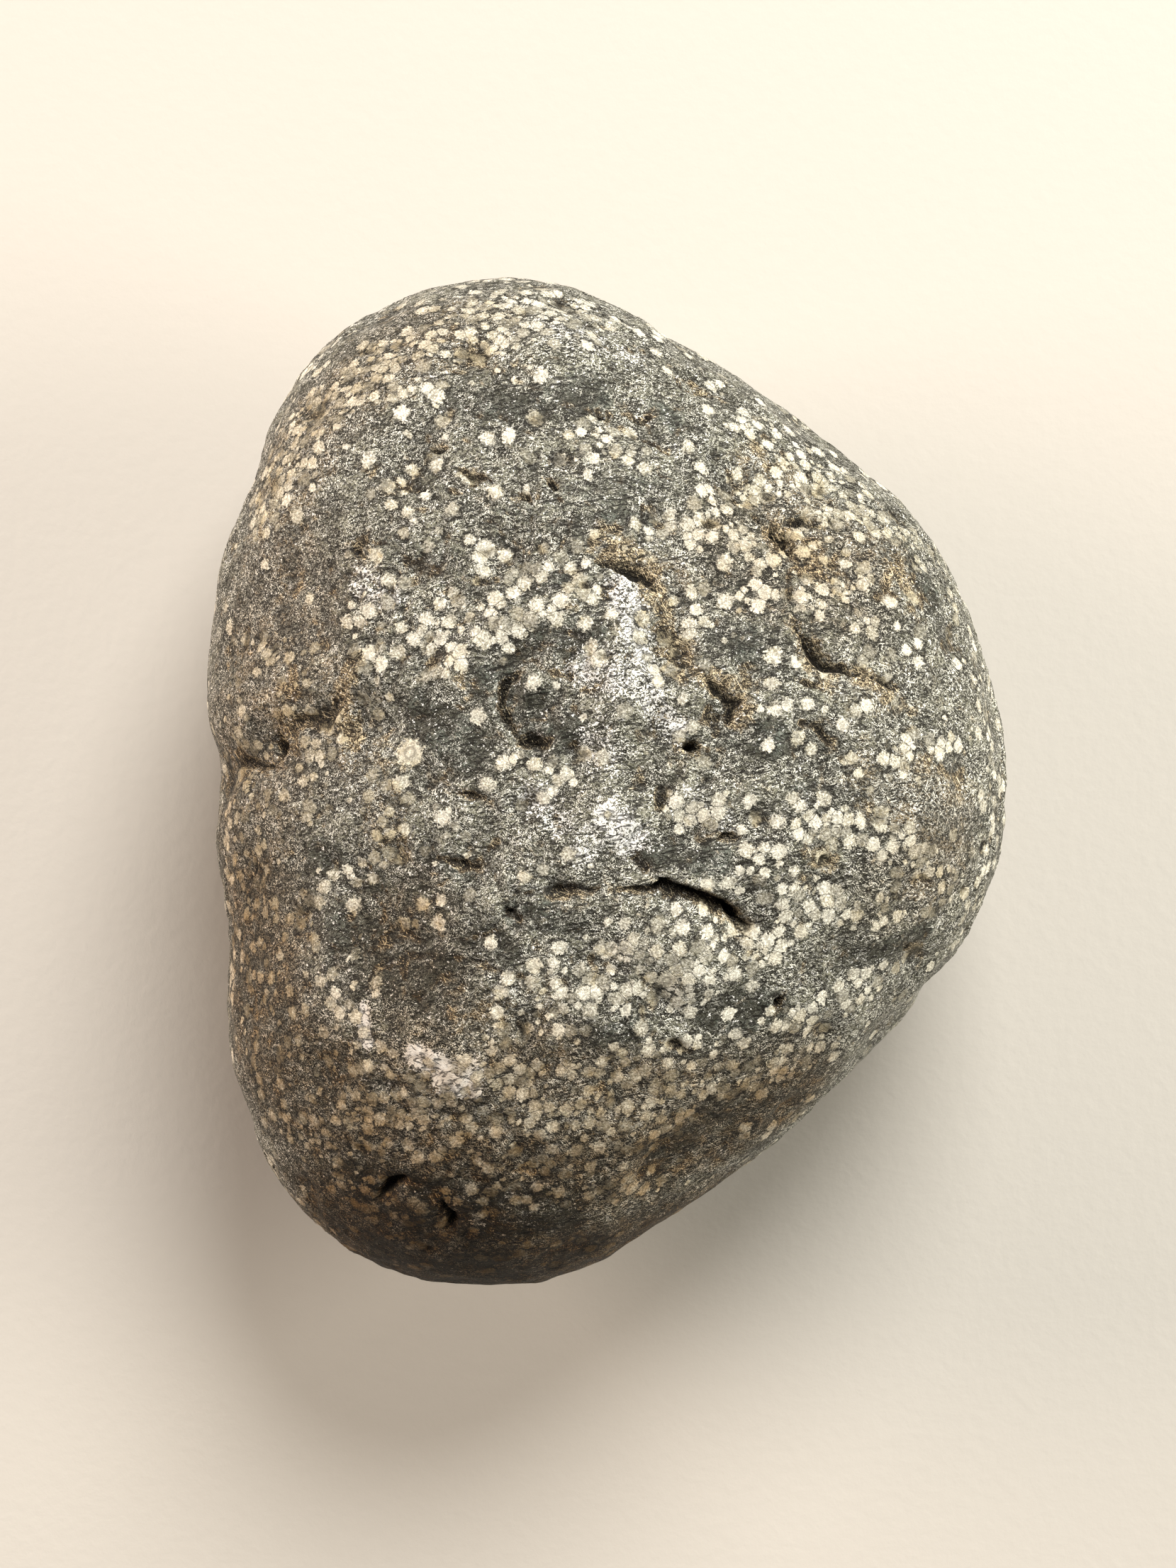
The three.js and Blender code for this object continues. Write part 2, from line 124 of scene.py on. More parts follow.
sharpForms = {
    "waistCrack": (0.4, 0.5, -0.55, -22.4, 1.4, 7.5, -20.2, 1.2, 9.9),
    "waistPit": (0.7, 0.7, -0.8, -20.5, 1.6, 10.4, -20.1, 2.4, 10.6, -20, 3.1, 10.6),
    "waistLedge": (0.35, 1.6, -0.35, -18.9, 3.5, 11, -17.2, 4.2, 12, -15.5, 4.9, 12.8),
    "ochreRidge": (0.9, 0.9, 0.22, -14.2, 7, 13.2, -15.5, 3.4, 12.6, -15.3, 0.8, 12.7),
    "lipGroove": (0.4, 1.2, -0.85, 1.6, -5.75, 15.3, 2.8, -5.65, 15.2, 4.2, -5.9, 15, 5.6, -6.4, 14.7,
                  6.7, -7.1, 14.4, 7.9, -8.2, 14),
    "lipLine": (0.25, 0.6, -0.3, 0.2, -6, 15.3, 1.4, -5.8, 15.3, 2.8, -5.65, 15.2),
    "lipEnd": (0.8, 0.7, -0.65, 6.6, -7.1, 14.3, 8, -8.2, 14),
    "lipShade": (0.3, 0.9, -0.28, -5.4, -5.8, 15.3, -3, -6.1, 15.3, -0.5, -6, 15.3),
    "bowl": (2, 0.35, -0.36, -5.6, 6.4, 15.2, -6.4, 5.4, 15.2, -6.4, 4.5, 15.2, -5.9, 3.6, 15.2,
             -5.1, 2.8, 15.2),
    "bowlLine": (0.4, 0.3, -0.42, -5.2, 6.9, 15.2, -6.1, 6.2, 15.2, -6.6, 5.2, 15.2, -6.3, 4.3, 15.2,
                 -5.7, 3.4, 15.2, -5, 2.6, 15.2),
    "bowlEdge": (0.35, 0.7, -0.3, -4.6, 7.3, 15.1, -3.4, 6.5, 15.2, -2, 6.2, 15.3),
    "bowlPit": (1.2, 0.6, -0.62, -5.1, 2.6, 15.3, -4.3, 2.3, 15.3, -3.5, 2.7, 15.3),
    "brownHollow": (1.8, 1.5, -0.5, 5.6, 4.9, 15.1, 6, 3.2, 15.1),
    "brownHollowWall": (0.4, 0.9, -0.65, 5.2, 6.1, 15, 6.3, 5.4, 14.9, 7.3, 4.8, 14.8, 7, 3.5, 15),
    "brownHollowPit": (0.6, 0.5, -0.9, 4.2, 2.1, 15.3, 5.1, 2.1, 15.3),
    "slantGroove": (0.42, 0.6, -0.85, 10.4, 9.2, 13.6, 11.1, 8.4, 13.5, 11.8, 7.6, 13.4, 12.6, 7, 13.2,
                    13.3, 6.7, 12.9, 14.2, 6.4, 12.6),
    "slantTail": (0.35, 0.5, -0.55, 14.9, 6.2, 12.4, 15.9, 6, 11.9, 16.7, 5.7, 11.4),
    "slantSplit": (0.35, 0.35, -0.35, 10.6, 8, 13.7, 10.9, 7.1, 13.8),
    "slantPit": (0.35, 0.4, -0.35, 10.7, 5.9, 13.9, 12.1, 5.8, 13.6),
    "northEastHole": (1, 0.8, -1.25, 9.8, 15.6, 11.9, 10.2, 14.9, 12, 10.6, 14, 12.2),
    "northEastNotch": (0.5, 0.5, -0.5, 8.6, 16.3, 12.1, 9.4, 15.9, 12),
    "eastCrease": (0.3, 0.6, -0.25, 10.4, 12.6, 12.5, 10.2, 11, 13, 10.5, 9.4, 13.4),
    "northEastGouge": (0.4, 0.7, -0.45, 10.2, 15.9, 11.6, 11.6, 16.3, 10.8, 12.6, 16, 10.6),
    "brownCrease": (0.5, 0.9, -0.65, -0.7, 13, 14.5, 0.7, 12.8, 14.5, 1.9, 12.2, 14.5, 2.8, 11.3, 14.5),
    "brownNick": (0.4, 0.6, -0.4, 5.2, 15.1, 13, 6.5, 15.4, 13),
    "leftBracket": (0.5, 0.6, -0.65, -13.5, -24.1, 9, -12.8, -23.2, 9.8, -11.8, -22.6, 10.5),
    "rightBracket": (0.5, 0.5, -0.65, -9.8, -23.9, 10.1, -9.2, -24.9, 9.6, -9.6, -25.9, 8.8),
    "bracketBump": (1.7, 1.7, 0.4, -11.3, -24.5, 9.6),
    "northScoop": (1.5, 1.5, -0.4, 4.7, 23.9, 8),
    "northScoopWall": (0.5, 0.35, -0.55, 3.5, 24.4, 8, 4, 23.3, 8.5, 5, 22.7, 8, 6, 23.1, 7.4),
    "northPit": (0.6, 0.7, -0.65, -0.8, 21.8, 11.4, -0.1, 21.2, 11.5),
    "northStreak": (0.3, 0.5, -0.3, 0.9, 21.6, 11.5, 2.6, 21.9, 11),
    "northSplit": (0.3, 0.5, -0.3, 0.6, 20.9, 12, 2.8, 20.2, 12),
    "northNick": (0.5, 0.5, -0.45, -3.4, 17.3, 13.4, -2.7, 16.6, 13.6),
    "northWestStreak": (0.3, 0.5, -0.4, -10.3, 19.4, 11.9, -8.9, 18.8, 12.2),
    "northWestSplit": (0.3, 0.6, -0.4, -8.4, 17.6, 12.8, -6.8, 17.2, 13.2),
    "northWestNick": (0.5, 0.4, -0.45, -5.2, 16.9, 13.5, -4.6, 16, 13.6),
    "westNick": (0.5, 0.5, -0.3, -13.9, 13.1, 11.8, -13.1, 13.5, 12),
    "middleCrease": (0.7, 0.8, -0.26, 4.4, 1.4, 15.3, 3, -0.2, 15.3, 2.2, -1.8, 15.3, 0.9, -3.4, 15.3),
    "lipBranch": (0.35, 0.6, -0.25, 0.9, -3.5, 15.3, 1.7, -4.1, 15.3, 2.7, -5.1, 15.3),
    "westSplit": (0.4, 0.5, -0.3, -8, 12.1, 14.1, -7.1, 11.4, 14.4, -6.3, 11.6, 14.5),
    "southSplit": (0.35, 0.5, -0.25, -6.3, -6.9, 15, -5.4, -7.5, 15, -4.9, -7.9, 15),
    "southStreak": (0.3, 0.6, -0.25, -7.7, -9.8, 14.2, -6, -10.2, 14.3, -4.5, -10.5, 14.4),
    "southPit": (0.8, 0.7, -0.3, 3.1, -14.5, 13.4, 4.5, -15.3, 13),
    "westPit": (0.5, 0.5, -0.4, -13.9, 13, 11.8, -13.2, 12.3, 12),
    "eastRimPit": (0.5, 0.5, -0.5, 19.1, -5.5, 7, 19.5, -5.9, 7),
    "middleNick": (0.4, 0.6, -0.35, -8.9, -0.2, 15, -7, -0.6, 15.1),
    "southNick": (0.4, 0.6, -0.35, -9.9, -4.2, 14.6, -7.5, -4.7, 14.8),
    "eastNick": (0.3, 0.6, -0.35, 6, -3, 15, 7.2, -3, 15),
    "eastPit": (0.6, 0.5, -0.4, 11.9, -4.1, 13.7, 12.6, -4.4, 13.5),
    "eastArc": (0.4, 0.9, -0.35, 10.9, 3.6, 14.2, 12, 3.4, 13.9, 12.7, 2.4, 13.8),
    "eastLowPit": (0.5, 0.5, -0.45, 10.3, -13.2, 13.2, 10.6, -13.7, 13),
    "eastLowNick": (0.35, 0.5, -0.35, 16.6, -9, 9, 17.4, -9.4, 8.5),
    "westRimCrack": (0.6, 1.4, -0.6, -24, -9, 2, -25, -14, 0, -24, -18, -3),
    "eastRimGroove": (1.4, 0.6, -0.45, 22, 9, 2, 23.5, 3, 3, 22.5, -2, 5),
    "southRimBite": (1, 2, -0.8, 2, -28, -3, 7, -25, -4),
    "northRimBite": (0.8, 1.8, -0.6, -13, 26, -3, -6, 29, -4),
    "undersideCrease": (0.6, 1.7, -0.8, -4, 16, -13, 3, 18, -12, 8, 16, -11),
    "undersideGroove": (1.7, 0.6, -0.8, 15, -3, -11, 13, -9, -11, 8, -13, -11),
    "undersidePit": (1.4, 1.4, -0.9, -14, -4, -12, -13, -6, -12),
}

# a ball pressed in leaves a shell-shaped scar: where, the ball's radius, how deep
chips = {
    "waistFacet": ((-18.4, 1.6, 11), 5, 0.45),
    "northWestScar": ((-22, 15, 2), 9, 0.6),
    "eastScar": ((19, -12, 3), 8, 0.55),
    "southScar": ((-14, -25, -4), 7, 0.6),
    "northEastScar": ((13, 17, -5), 9, 0.7),
    "undersideScar": ((-12, 9, -13), 7, 0.6),
}

dents = {"count": 190, "smallest": 1.3, "largest": 2.8, "depth": 0.22}

fineRelief = {
    "swells": [(4.6, 0.15, 1), (2.1, 0.12, 2), (1.0, 0.11, 3), (0.55, 0.07, 4)],  # size, height, seed
    "steps": (3.6, 21),  # how broad the flaked terraces are in mm, seed
    "narrowSteps": (1.1, 22),
    "narrowShare": 0.3,
    "flaked": (6.5, 23),  # how broad the flaked patches are in mm, seed
    "stepHeight": 0.28,
    "stepsPerSwing": 2.6,
    "stepEdge": 0.22,  # share of each step that its edge takes
    "pitSize": 1.7,  # mm between the small pits
    "rough": [(9, 1, -9, 14, 10, 14), (9, 1, -6, 1, 12, 4), (5, 0.8, -10, -24)],  # touches, as in tintPlan
    "calm": 0.6,  # how much relief stays elsewhere
    "pitStretch": (0.55, 1.0, 0.9),  # less than 1 draws them out along x
    "pitReach": 0.36,
    "pitDepth": 0.26,
    "pitShare": 0.42,
}


# each vector over its own length
def unit(vectors):
    return vectors / np.linalg.norm(vectors, axis=-1, keepdims=True)


# 0 at low to 1 at high: 3 t^2 - 2 t^3, t being the share of the way
def easeStep(low, high, x):
    t = np.clip((x - low) / (high - low), 0, 1)
    return t * t * (3 - 2 * t)


# whole-number places to even random numbers from 0 to 1
def latticeRandom(cells, seed):
    spread = (73856093, 19349663, 83492791)
    mixed = sum(cells[..., k].astype(np.int64) * spread[k] for k in range(3)) + seed * 2654435761
    for shift, factor in ((13, 1274126177), (16, 2246822519), (15, 3266489917)):
        mixed = (mixed ^ (mixed >> shift)) * factor & 0xFFFFFFFF
    return mixed / 0x100000000


# smooth random heights from -1 to 1: lattice values eased into each other over each cell of that size
def softNoise(points, size, seed):
    scaled = points / size
    cell = np.floor(scaled).astype(np.int64)
    t = scaled - cell
    t = t * t * (3 - 2 * t)
    total = 0
    for corner in np.ndindex(2, 2, 2):
        share = np.prod(np.where(corner, t, 1 - t), axis=-1)
        total = total + share * latticeRandom(cell + np.array(corner), seed)
    return 2 * total - 1


# distance to the nearest of one random point per cell of that size, and that point's own random number
def cellNoise(points, size, seed):
    scaled = points / size
    cell = np.floor(scaled).astype(np.int64)
    nearest = np.full(len(points), np.inf)
    mark = np.zeros(len(points))
    for corner in np.ndindex(3, 3, 3):
        beside = cell + np.array(corner) - 1
        jitter = np.stack([latticeRandom(beside, seed + k) for k in (1, 2, 3)], axis=-1)
        distance = np.linalg.norm(beside + jitter - scaled, axis=-1) * size
        closer = distance < nearest
        nearest = np.where(closer, distance, nearest)
        mark = np.where(closer, latticeRandom(beside, seed + 4), mark)
    return nearest, mark


# rim radius at each longitude: a closed smooth curve through rimRadii
def rimRadius(longitude):
    radii = np.array(bodyShape["rimRadii"])
    place = np.mod(longitude * len(radii) / (2 * np.pi), len(radii))
    index = np.floor(place).astype(int) % len(radii)
    t = place - np.floor(place)
    before, start, end, after = (radii[(index + k) % len(radii)] for k in (-1, 0, 1, 2))
    slope = (end - before) / 2
    slopeAfter = (after - start) / 2
    bend = 3 * (end - start) - 2 * slope - slopeAfter
    twist = 2 * (start - end) + slope + slopeAfter
    return start + slope * t + bend * t**2 + twist * t**3


# smooth body along each direction: (across / rim)^n + (|up| / rise)^n = 1
def onBody(direction):
    upper = direction[..., 2] > 0
    rise = np.where(upper, bodyShape["upperRise"], bodyShape["lowerDrop"])
    fullness = np.where(upper, bodyShape["upperFullness"], bodyShape["lowerFullness"])
    longitude = np.arctan2(direction[..., 1], direction[..., 0])
    across = np.hypot(direction[..., 0], direction[..., 1]) / rimRadius(longitude)
    up = np.abs(direction[..., 2]) / rise
    radius = (across**fullness + up**fullness) ** (-1 / fullness)
    return direction * radius[..., None]


# points of the upper face straight above places in plan
def onUpperFace(places):
    plan = np.array(places, float)
    part = np.hypot(plan[:, 0], plan[:, 1]) / rimRadius(np.arctan2(plan[:, 1], plan[:, 0]))
    fullness = bodyShape["upperFullness"]
    height = bodyShape["upperRise"] * np.clip(1 - part**fullness, 0, 1) ** (1 / fullness)
    return np.column_stack([plan, height])


# distance from each point to a path, how far to its left the point lies (-1 to 1), how far along (0 to 1)
def besidePath(points, path):
    distance = np.full(len(points), np.inf)
    leftward = np.zeros(len(points))
    along = np.full(len(points), 0.5)
    runs = np.diff(path, axis=0) if len(path) > 1 else np.zeros((1, 3))
    lengths = np.linalg.norm(runs, axis=1)
    for k, (start, run) in enumerate(zip(path, runs)):
        offset = points - start
        share = np.clip(offset @ run / max(run @ run, 1e-9), 0, 1)
        offset = offset - share[:, None] * run
        length = np.linalg.norm(offset, axis=1)
        left = np.cross(points, run)
        left = left / np.maximum(np.linalg.norm(left, axis=1, keepdims=True), 1e-9)
        lean = (offset * left).sum(1) / np.maximum(length, 1e-9)
        closer = length < distance
        leftward = np.where(closer, lean, leftward)
        if len(path) > 1:
            along = np.where(closer, (lengths[:k].sum() + share * lengths[k]) / lengths.sum(), along)
        distance = np.minimum(distance, length)
    return distance, leftward, along


# 1 at the middle of a path, down to the tip share at its ends, as sin(180 degrees * along)
def tipFullness(along):
    return bodyShape["tipShare"] + (1 - bodyShape["tipShare"]) * np.sin(np.pi * along)


# height of one form: height * (1 - q^2)^2, q being the distance over the reach on that side;
# the height and the reach shrink towards the ends of the path
def formHeight(points, path, reach, height):
    distance, leftward, along = besidePath(points, path)
    fullness = tipFullness(along)
    side = (reach[1] + (reach[0] - reach[1]) * (leftward + 1) / 2) * fullness
    q = np.minimum(distance / side, 1)
    return height * fullness * (1 - q**2) ** 2


# a form only touches the points near its path, so only those are worked out
def addForm(heights, points, form):
    path, reach, height = form
    far = np.linalg.norm(path - path.mean(0), axis=1).max() + max(reach)
    near = np.flatnonzero(np.linalg.norm(points - path.mean(0), axis=1) < far)
    heights[near] += formHeight(points[near], path, reach, height)


# distance beyond a crevice's half width, which shrinks towards its ends
def creviceDistance(points, path, halfWidth):
    distance, _, along = besidePath(points, path)
    return distance - halfWidth * tipFullness(along)


# a form's row as its path, moved onto the smooth body, its two reaches and its height
def snapForm(form):
    left, right, height, *path = form
    return onBody(unit(np.reshape(path, (-1, 3)))), (left, right), height


# shallow dents on a sunflower spiral: each one a golden angle on and one even step further down
def makeDents(plan):
    order = np.arange(plan["count"])
    height = 1 - (2 * order + 1) / plan["count"]
    across = np.sqrt(1 - height**2)
    goldenAngle = np.pi * (3 - np.sqrt(5))
    turn = goldenAngle * order
    reach = plan["smallest"] + (plan["largest"] - plan["smallest"]) * (np.sin(turn * 7) + 1) / 2
    places = onBody(np.stack([across * np.cos(turn), across * np.sin(turn), height], axis=1))
    return [(place[None], (r, r), -plan["depth"] * math.sqrt(r)) for place, r in zip(places, reach)]


# distance from the middle at which a chip's ball is met along each direction
def chipRadius(direction, chip):
    place, radius, depth = chip
    surface = onBody(unit(np.array([place], float)))[0]
    length = np.linalg.norm(surface)
    centre = surface * (length + radius - depth) / length
    along = direction @ centre
    spare = radius**2 - (centre @ centre - along**2)
    return np.where((along > 0) & (spare > 0), along - np.sqrt(np.maximum(spare, 0)), np.inf)


# distance from each point to a path written as x, y, x, y along the upper face
def besideStroke(points, stroke):
    distance, _, _ = besidePath(points, onUpperFace(np.reshape(stroke, (-1, 2))))
    return distance


# strength at each point: the strongest touch there, 1 - ease(0.4 w, 1.3 w, distance) for each
def painted(points, touches):
    total = np.zeros(len(points))
    for halfWidth, strength, *stroke in touches:
        distance = besideStroke(points, stroke)
        total = np.maximum(total, strength * (1 - easeStep(0.4 * halfWidth, 1.3 * halfWidth, distance)))
    return total


# fine relief: swells + stairs made from a slow noise + sparse small pits
def fineHeight(points, plan):
    swells = sum(height * softNoise(points, size, seed) for size, height, seed in plan["swells"])
    slow = softNoise(points, *plan["steps"]) + plan["narrowShare"] * softNoise(points, *plan["narrowSteps"])
    climb = plan["stepsPerSwing"] * slow
    stairs = np.floor(climb) + easeStep(0.0, plan["stepEdge"], climb - np.floor(climb)) - climb
    flaked = easeStep(-0.15, 0.45, softNoise(points, *plan["flaked"]))
    distance, mark = cellNoise(points * np.array(plan["pitStretch"]), plan["pitSize"], 31)
    reach = plan["pitReach"] * (0.6 + mark / plan["pitShare"])
    pits = np.where(mark < plan["pitShare"], (1 - np.minimum(distance / reach, 1) ** 2) ** 2, 0)
    roughness = plan["calm"] + (1 - plan["calm"]) * painted(points, plan["rough"])
    return roughness * (swells + plan["stepHeight"] * flaked * stairs - plan["pitDepth"] * pits)


# the values at the four corners of every face of a grid
def gridFaces(grid):
    corners = [grid[..., :-1, :-1], grid[..., 1:, :-1], grid[..., 1:, 1:], grid[..., :-1, 1:]]
    return np.stack(corners, axis=-1).reshape(-1, 4)


# a ball cut as a cube: each whole-number place c on the cube's skin goes to
# unit(tan(45 degrees * (2 c / steps - 1)))
def cubeSphere(steps, charts, margin):
    u, v = np.meshgrid(np.arange(steps + 1), np.arange(steps + 1), indexing="ij")
    low, high = np.zeros_like(u), np.full_like(u, steps)
    sides = [(u, v, high), (v, u, low), (high, u, v), (low, v, u), (v, high, u), (u, low, v)]
    lattice = np.array([np.stack(side, axis=-1) for side in sides])
    places, index = np.unique(lattice.reshape(-1, 3), axis=0, return_inverse=True)
    index = index.reshape(6, steps + 1, steps + 1)
    share = margin + (1 - 2 * margin) * np.stack([u, v], axis=-1) / steps
    charted = np.array([np.array(chart[:2]) + share * np.array(chart[2:]) for chart in charts])
    uvs = np.stack([gridFaces(charted[..., k]) for k in (0, 1)], axis=-1).reshape(-1, 2)
    directions = unit(np.tan(np.pi / 4 * (2 * places / steps - 1)))
    return directions, gridFaces(index), uvs


# where each side of the cube goes on the map: left, bottom, width, height; the upper face gets the most
chartPlan = {
    "charts": [(0, 0, 0.62, 0.62), (0.62, 0, 0.38, 0.38), (0, 0.62, 0.31, 0.38),
               (0.31, 0.62, 0.31, 0.38), (0.62, 0.38, 0.38, 0.31), (0.62, 0.69, 0.38, 0.31)],
    "margin": 0.006,
}


# the whole stone: smooth body + broad forms + sharp forms, cut by the chips, + fine relief, worn flat below
def shapePebble():
    shape = bodyShape
    ball, quads, uvs = cubeSphere(shape["gridSteps"], chartPlan["charts"], chartPlan["margin"])
    lean = np.array([0, 0, shape["crowding"]])
    direction = unit(unit(ball * np.array(shape["gridSpread"])) + lean)
    body = onBody(direction)
    broad = np.zeros(len(body))
    for form in [snapForm(f) for f in broadForms.values()] + makeDents(dents):
        addForm(broad, body, form)
    # sharp forms are looked up from a point pushed about, so that their edges wander
    ragged = body.copy()
    for size, push, seed in shape["wander"]:
        ragged += push * np.stack([softNoise(body, size, seed + k) for k in range(3)], axis=1)
    sharp = np.zeros(len(body))
    crevice = np.full(len(body), shape["creviceFar"])
    for path, reach, height in map(snapForm, sharpForms.values()):
        addForm(sharp, ragged, (path, reach, height))
        if height < shape["creviceFrom"]:
            crevice = np.minimum(crevice, creviceDistance(ragged, path, -height * shape["creviceWidth"]))
    swing, size, seed = shape["unevenness"]
    sharp *= shape["sharpness"] + swing * softNoise(body, size, seed)
    fine = fineHeight(body, fineRelief)
    radius = np.linalg.norm(body, axis=1) + broad + sharp
    chipped = np.minimum.reduce([radius] + [chipRadius(direction, chip) for chip in chips.values()])
    surface = direction * (chipped + fine)[:, None]
    floor = shape["wornDepth"] - shape["lowerDrop"]
    below = surface[:, 2] < floor
    surface[below] *= (floor / surface[below, 2])[:, None]
    relief = chipped + fine - np.linalg.norm(body, axis=1)
    return {"body": body, "surface": surface, "quads": quads, "uvs": uvs,
            "relief": relief, "scar": radius - chipped, "crevice": crevice}


pebbleForm = shapePebble()
print("pebble shaped:", len(pebbleForm["body"]), "points")


# the heights in mm between which the touches below fade in from the underside
tintFade = (-12.0, 4.0)

# stains and bruising, and painted shade at the lower end, painted as broad touches: half width, strength,
# then x and y along the path
tintPlan = {
    "ochre": [
        (1.1, 0.9, -0.5, 14, 2, 12.2, 3.2, 9, 4.2, 6.6), (1.2, 0.8, 8, 19.6, 9.6, 18.8),
        (1.3, 0.9, 9.8, 14.4, 12.4, 12.6), (1.3, 0.8, 16.5, 12.4, 17.4, 10.6), (0.9, 0.7, 10.8, 8, 12.4, 6),
        (0.8, 0.9, 14.2, 6.2, 15.8, 5.2), (0.8, 0.8, 5.4, 6, 7.6, 5.4, 7.4, 3.4),
        (0.6, 0.8, 3.8, 2.4, 5.2, 1.8), (0.8, 1, -14.4, 7, -15.4, 4.8, -15, 2.6),
        (0.9, 0.8, -18, 6.4, -18.6, 4, -18.8, 2.6), (1, 0.7, -12.8, 1.8, -12.4, 0.6),
        (1.2, 0.8, -13, -1.6, -12.2, -3.4), (1.6, 0.35, -5.2, 24, -8.5, 25.6),
        (0.9, 0.7, -13.2, 17.6, -12.6, 17), (0.6, 0.6, -3, -6.4, -1.6, -6.6),
        (0.8, 0.6, 5.6, -6.4, 8.2, -9.2), (0.7, 0.8, 11.2, -3.8, 12.6, -4.4), (1.4, 0.5, 18, 1, 20, -0.4),
        (2, 0.35, -19, 20, -20, 15), (0.7, 0.6, -9, 7, -8, 5.4), (1.4, 0.35, -8.2, -12.4, -4.8, -12),
    ],
    "frost": [
        (1.1, 1, 0.4, 11.2, 1, 9.8), (1.1, 0.95, 1.2, 9.4, 1.6, 7.4),
        (1.5, 0.8, -1.4, 6.8, 0.6, 5.8, 1.8, 5.6), (1, 0.9, 2.2, 4.6, 3.6, 3.2),
        (1.2, 0.6, -1, 2.8, -0.3, 1.4), (1.2, 1.25, 0, -1.8, 1, -3), (1, 0.7, -1, -3, -1.8, -3.8),
        (1.2, 0.7, -4.4, -0.6, -3, -1.8), (0.9, 2.1, -10.6, -15, -9.2, -15.6),
        (0.8, 2.3, -9.2, -16.2, -7.9, -16.8), (0.7, 1.2, -7.6, -15.4, -8, -16.4),
        (0.4, 2.2, -13.9, -12.6, -13.8, -14.6), (0.4, 0.4, -13.6, -15.8, -13.8, -16.6),
        (1.4, 0.5, -3, 25.8, 1, 24.6), (1, 0.5, 4.4, -1, 6.6, -2), (1, 0.8, -12.4, 10.6, -14, 11.6),
    ],
    # dark clean glass
    "slate": [
        (1.6, 0.8, -9, 21.6, -4, 21.4, -1, 22.6), (1.5, 0.5, -10.5, 17.6, -6.5, 17.4, -3, 18),
        (1.3, 0.6, -8, 15.4, -2, 16.3, 3.4, 16.8), (1.3, 0.7, 2.6, 21.5, 5.2, 19.6),
        (1.3, 0.6, -12.5, 13.4, -9, 12.6), (0.7, 1, -4.8, 10.9, -2.4, 11.9),
        (1.3, 0.7, 6.2, 11.8, 7.8, 11.4), (1.4, 0.9, -5.8, 7.8, -1.2, 8.4),
        (2, 0.9, -6.5, 5.6, -4.6, 4.4, -2.8, 3.2), (1.9, 1, -10.4, 4, -8, 1.8),
        (1.6, 0.9, 6.5, 8.4, 8.4, 7.6), (1.5, 0.8, 7, 3, 9, 2.4, 12.4, 2.6),
        (1.2, 0.8, 11, -0.6, 13.8, -0.8), (1.3, 0.9, 2, -3.6, 6, -4.2), (1.1, 1, -5.2, -7.2, -2, -7.6),
        (1.5, 0.8, -8, -8.5, -6, -9.4), (1, 0.8, -10.5, -4, -8, -4.8), (1.6, 0.8, -16.5, -4, -14, -5.5),
        (2.6, 0.8, -15, -8.5, -13.5, -10.5, -9.5, -11), (1.6, 1, 6, -12.8, 9, -12.6),
        (1, 0.9, -1, -14.2, 1.5, -13.6), (2.6, 0.8, -14, -22.5, -8, -24.5, -3, -24.5),
        (1.4, 0.9, 17.6, 12.4, 19.4, 8.6), (1.3, 0.8, 14, -10, 18, -8.6), (0.9, 0.8, -3, 14.6, 2, 15.2),
        (0.8, 0.8, 6, 18, 7, 17),
    ],
    # glass stained khaki all through
    "khaki": [
        (3.4, 0.9, -19.5, 14, -17.5, 19.5, -13.5, 24, -8, 26.5), (2.2, 0.9, 8.5, 17.8, 12, 15.8, 16, 13),
        (3, 0.8, 15.6, 0, 19.5, -1.5, 18, -5), (1.5, 0.9, -13, -1, -12.4, -3.4),
        (2, 0.6, -8.8, -13.4, -4.6, -12.6), (3.5, 0.85, -14, -18.5, -4, -17.5, 3, -18),
        (1.4, 0.6, 3.4, 12, 3.8, 7.4), (1.6, 0.7, 10.5, 14, 12.5, 12.5), (2, 0.4, 14, 5, 18, 6),
        (1.8, 0.7, -15.4, 6, -14.5, 1), (5, 0.7, -20, 8, -21, -4, -20, -14),
    ],
    # crystals that are worn dull
    "faded": [
        (3, 0.45, -19.5, 16.5, -17.5, 20.5, -13.5, 24.5, -8, 27),
        (5, 0.8, -19, 6, -20, -4, -19, -14, -15, -22), (3.5, 0.9, -14, -25, -6, -28, 2, -26),
        (2.5, 0.5, 14, 17, 20, 10), (1.6, 0.9, -14.5, 3.4, -12.6, 3.6, -16, 0),
        (2.4, 0.8, -13, -3, -13, -9), (4, 0.5, -14, -18.5, -4, -17, 6, -17.5, 12, -16),
        (5, 0.6, -8, -23, 4, -22.5), (2.6, 0.5, 16, -6.5, 20.5, -6, 17, -11), (2.2, 0.4, 20, 10, 21.5, 0),
    ],
    # dull brown film towards the left and the lower end; at the lower end, which faces away from the key
    # lamp, it is also painted shade
    "brown": [
        (6, 0.45, -19.5, 8, -21, -4), (6, 0.8, -20.5, -8, -20, -14, -15, -20),
        (4.5, 0.6, -12, -9, -11, -13), (9.5, 1.15, -12, -27, -6, -29, 2, -27.5),
        (3.5, 0.6, -12, -16.5, -3, -16), (4.5, 0.4, 8, 13.5, 13, 11.5),
        (4.5, 0.85, -13, -21, 2, -22, 10, -18), (5, 0.4, -17.5, 11), (4, 0.3, -18.5, 19, -12, 26),
        (3.5, 0.3, 16, -6, 19, -4), (1.6, 0.55, -22, 0.6, -22.5, -2.5),
        (3.5, 0.6, -2, -17, 4, -18, 9, -16.5),
    ],
}


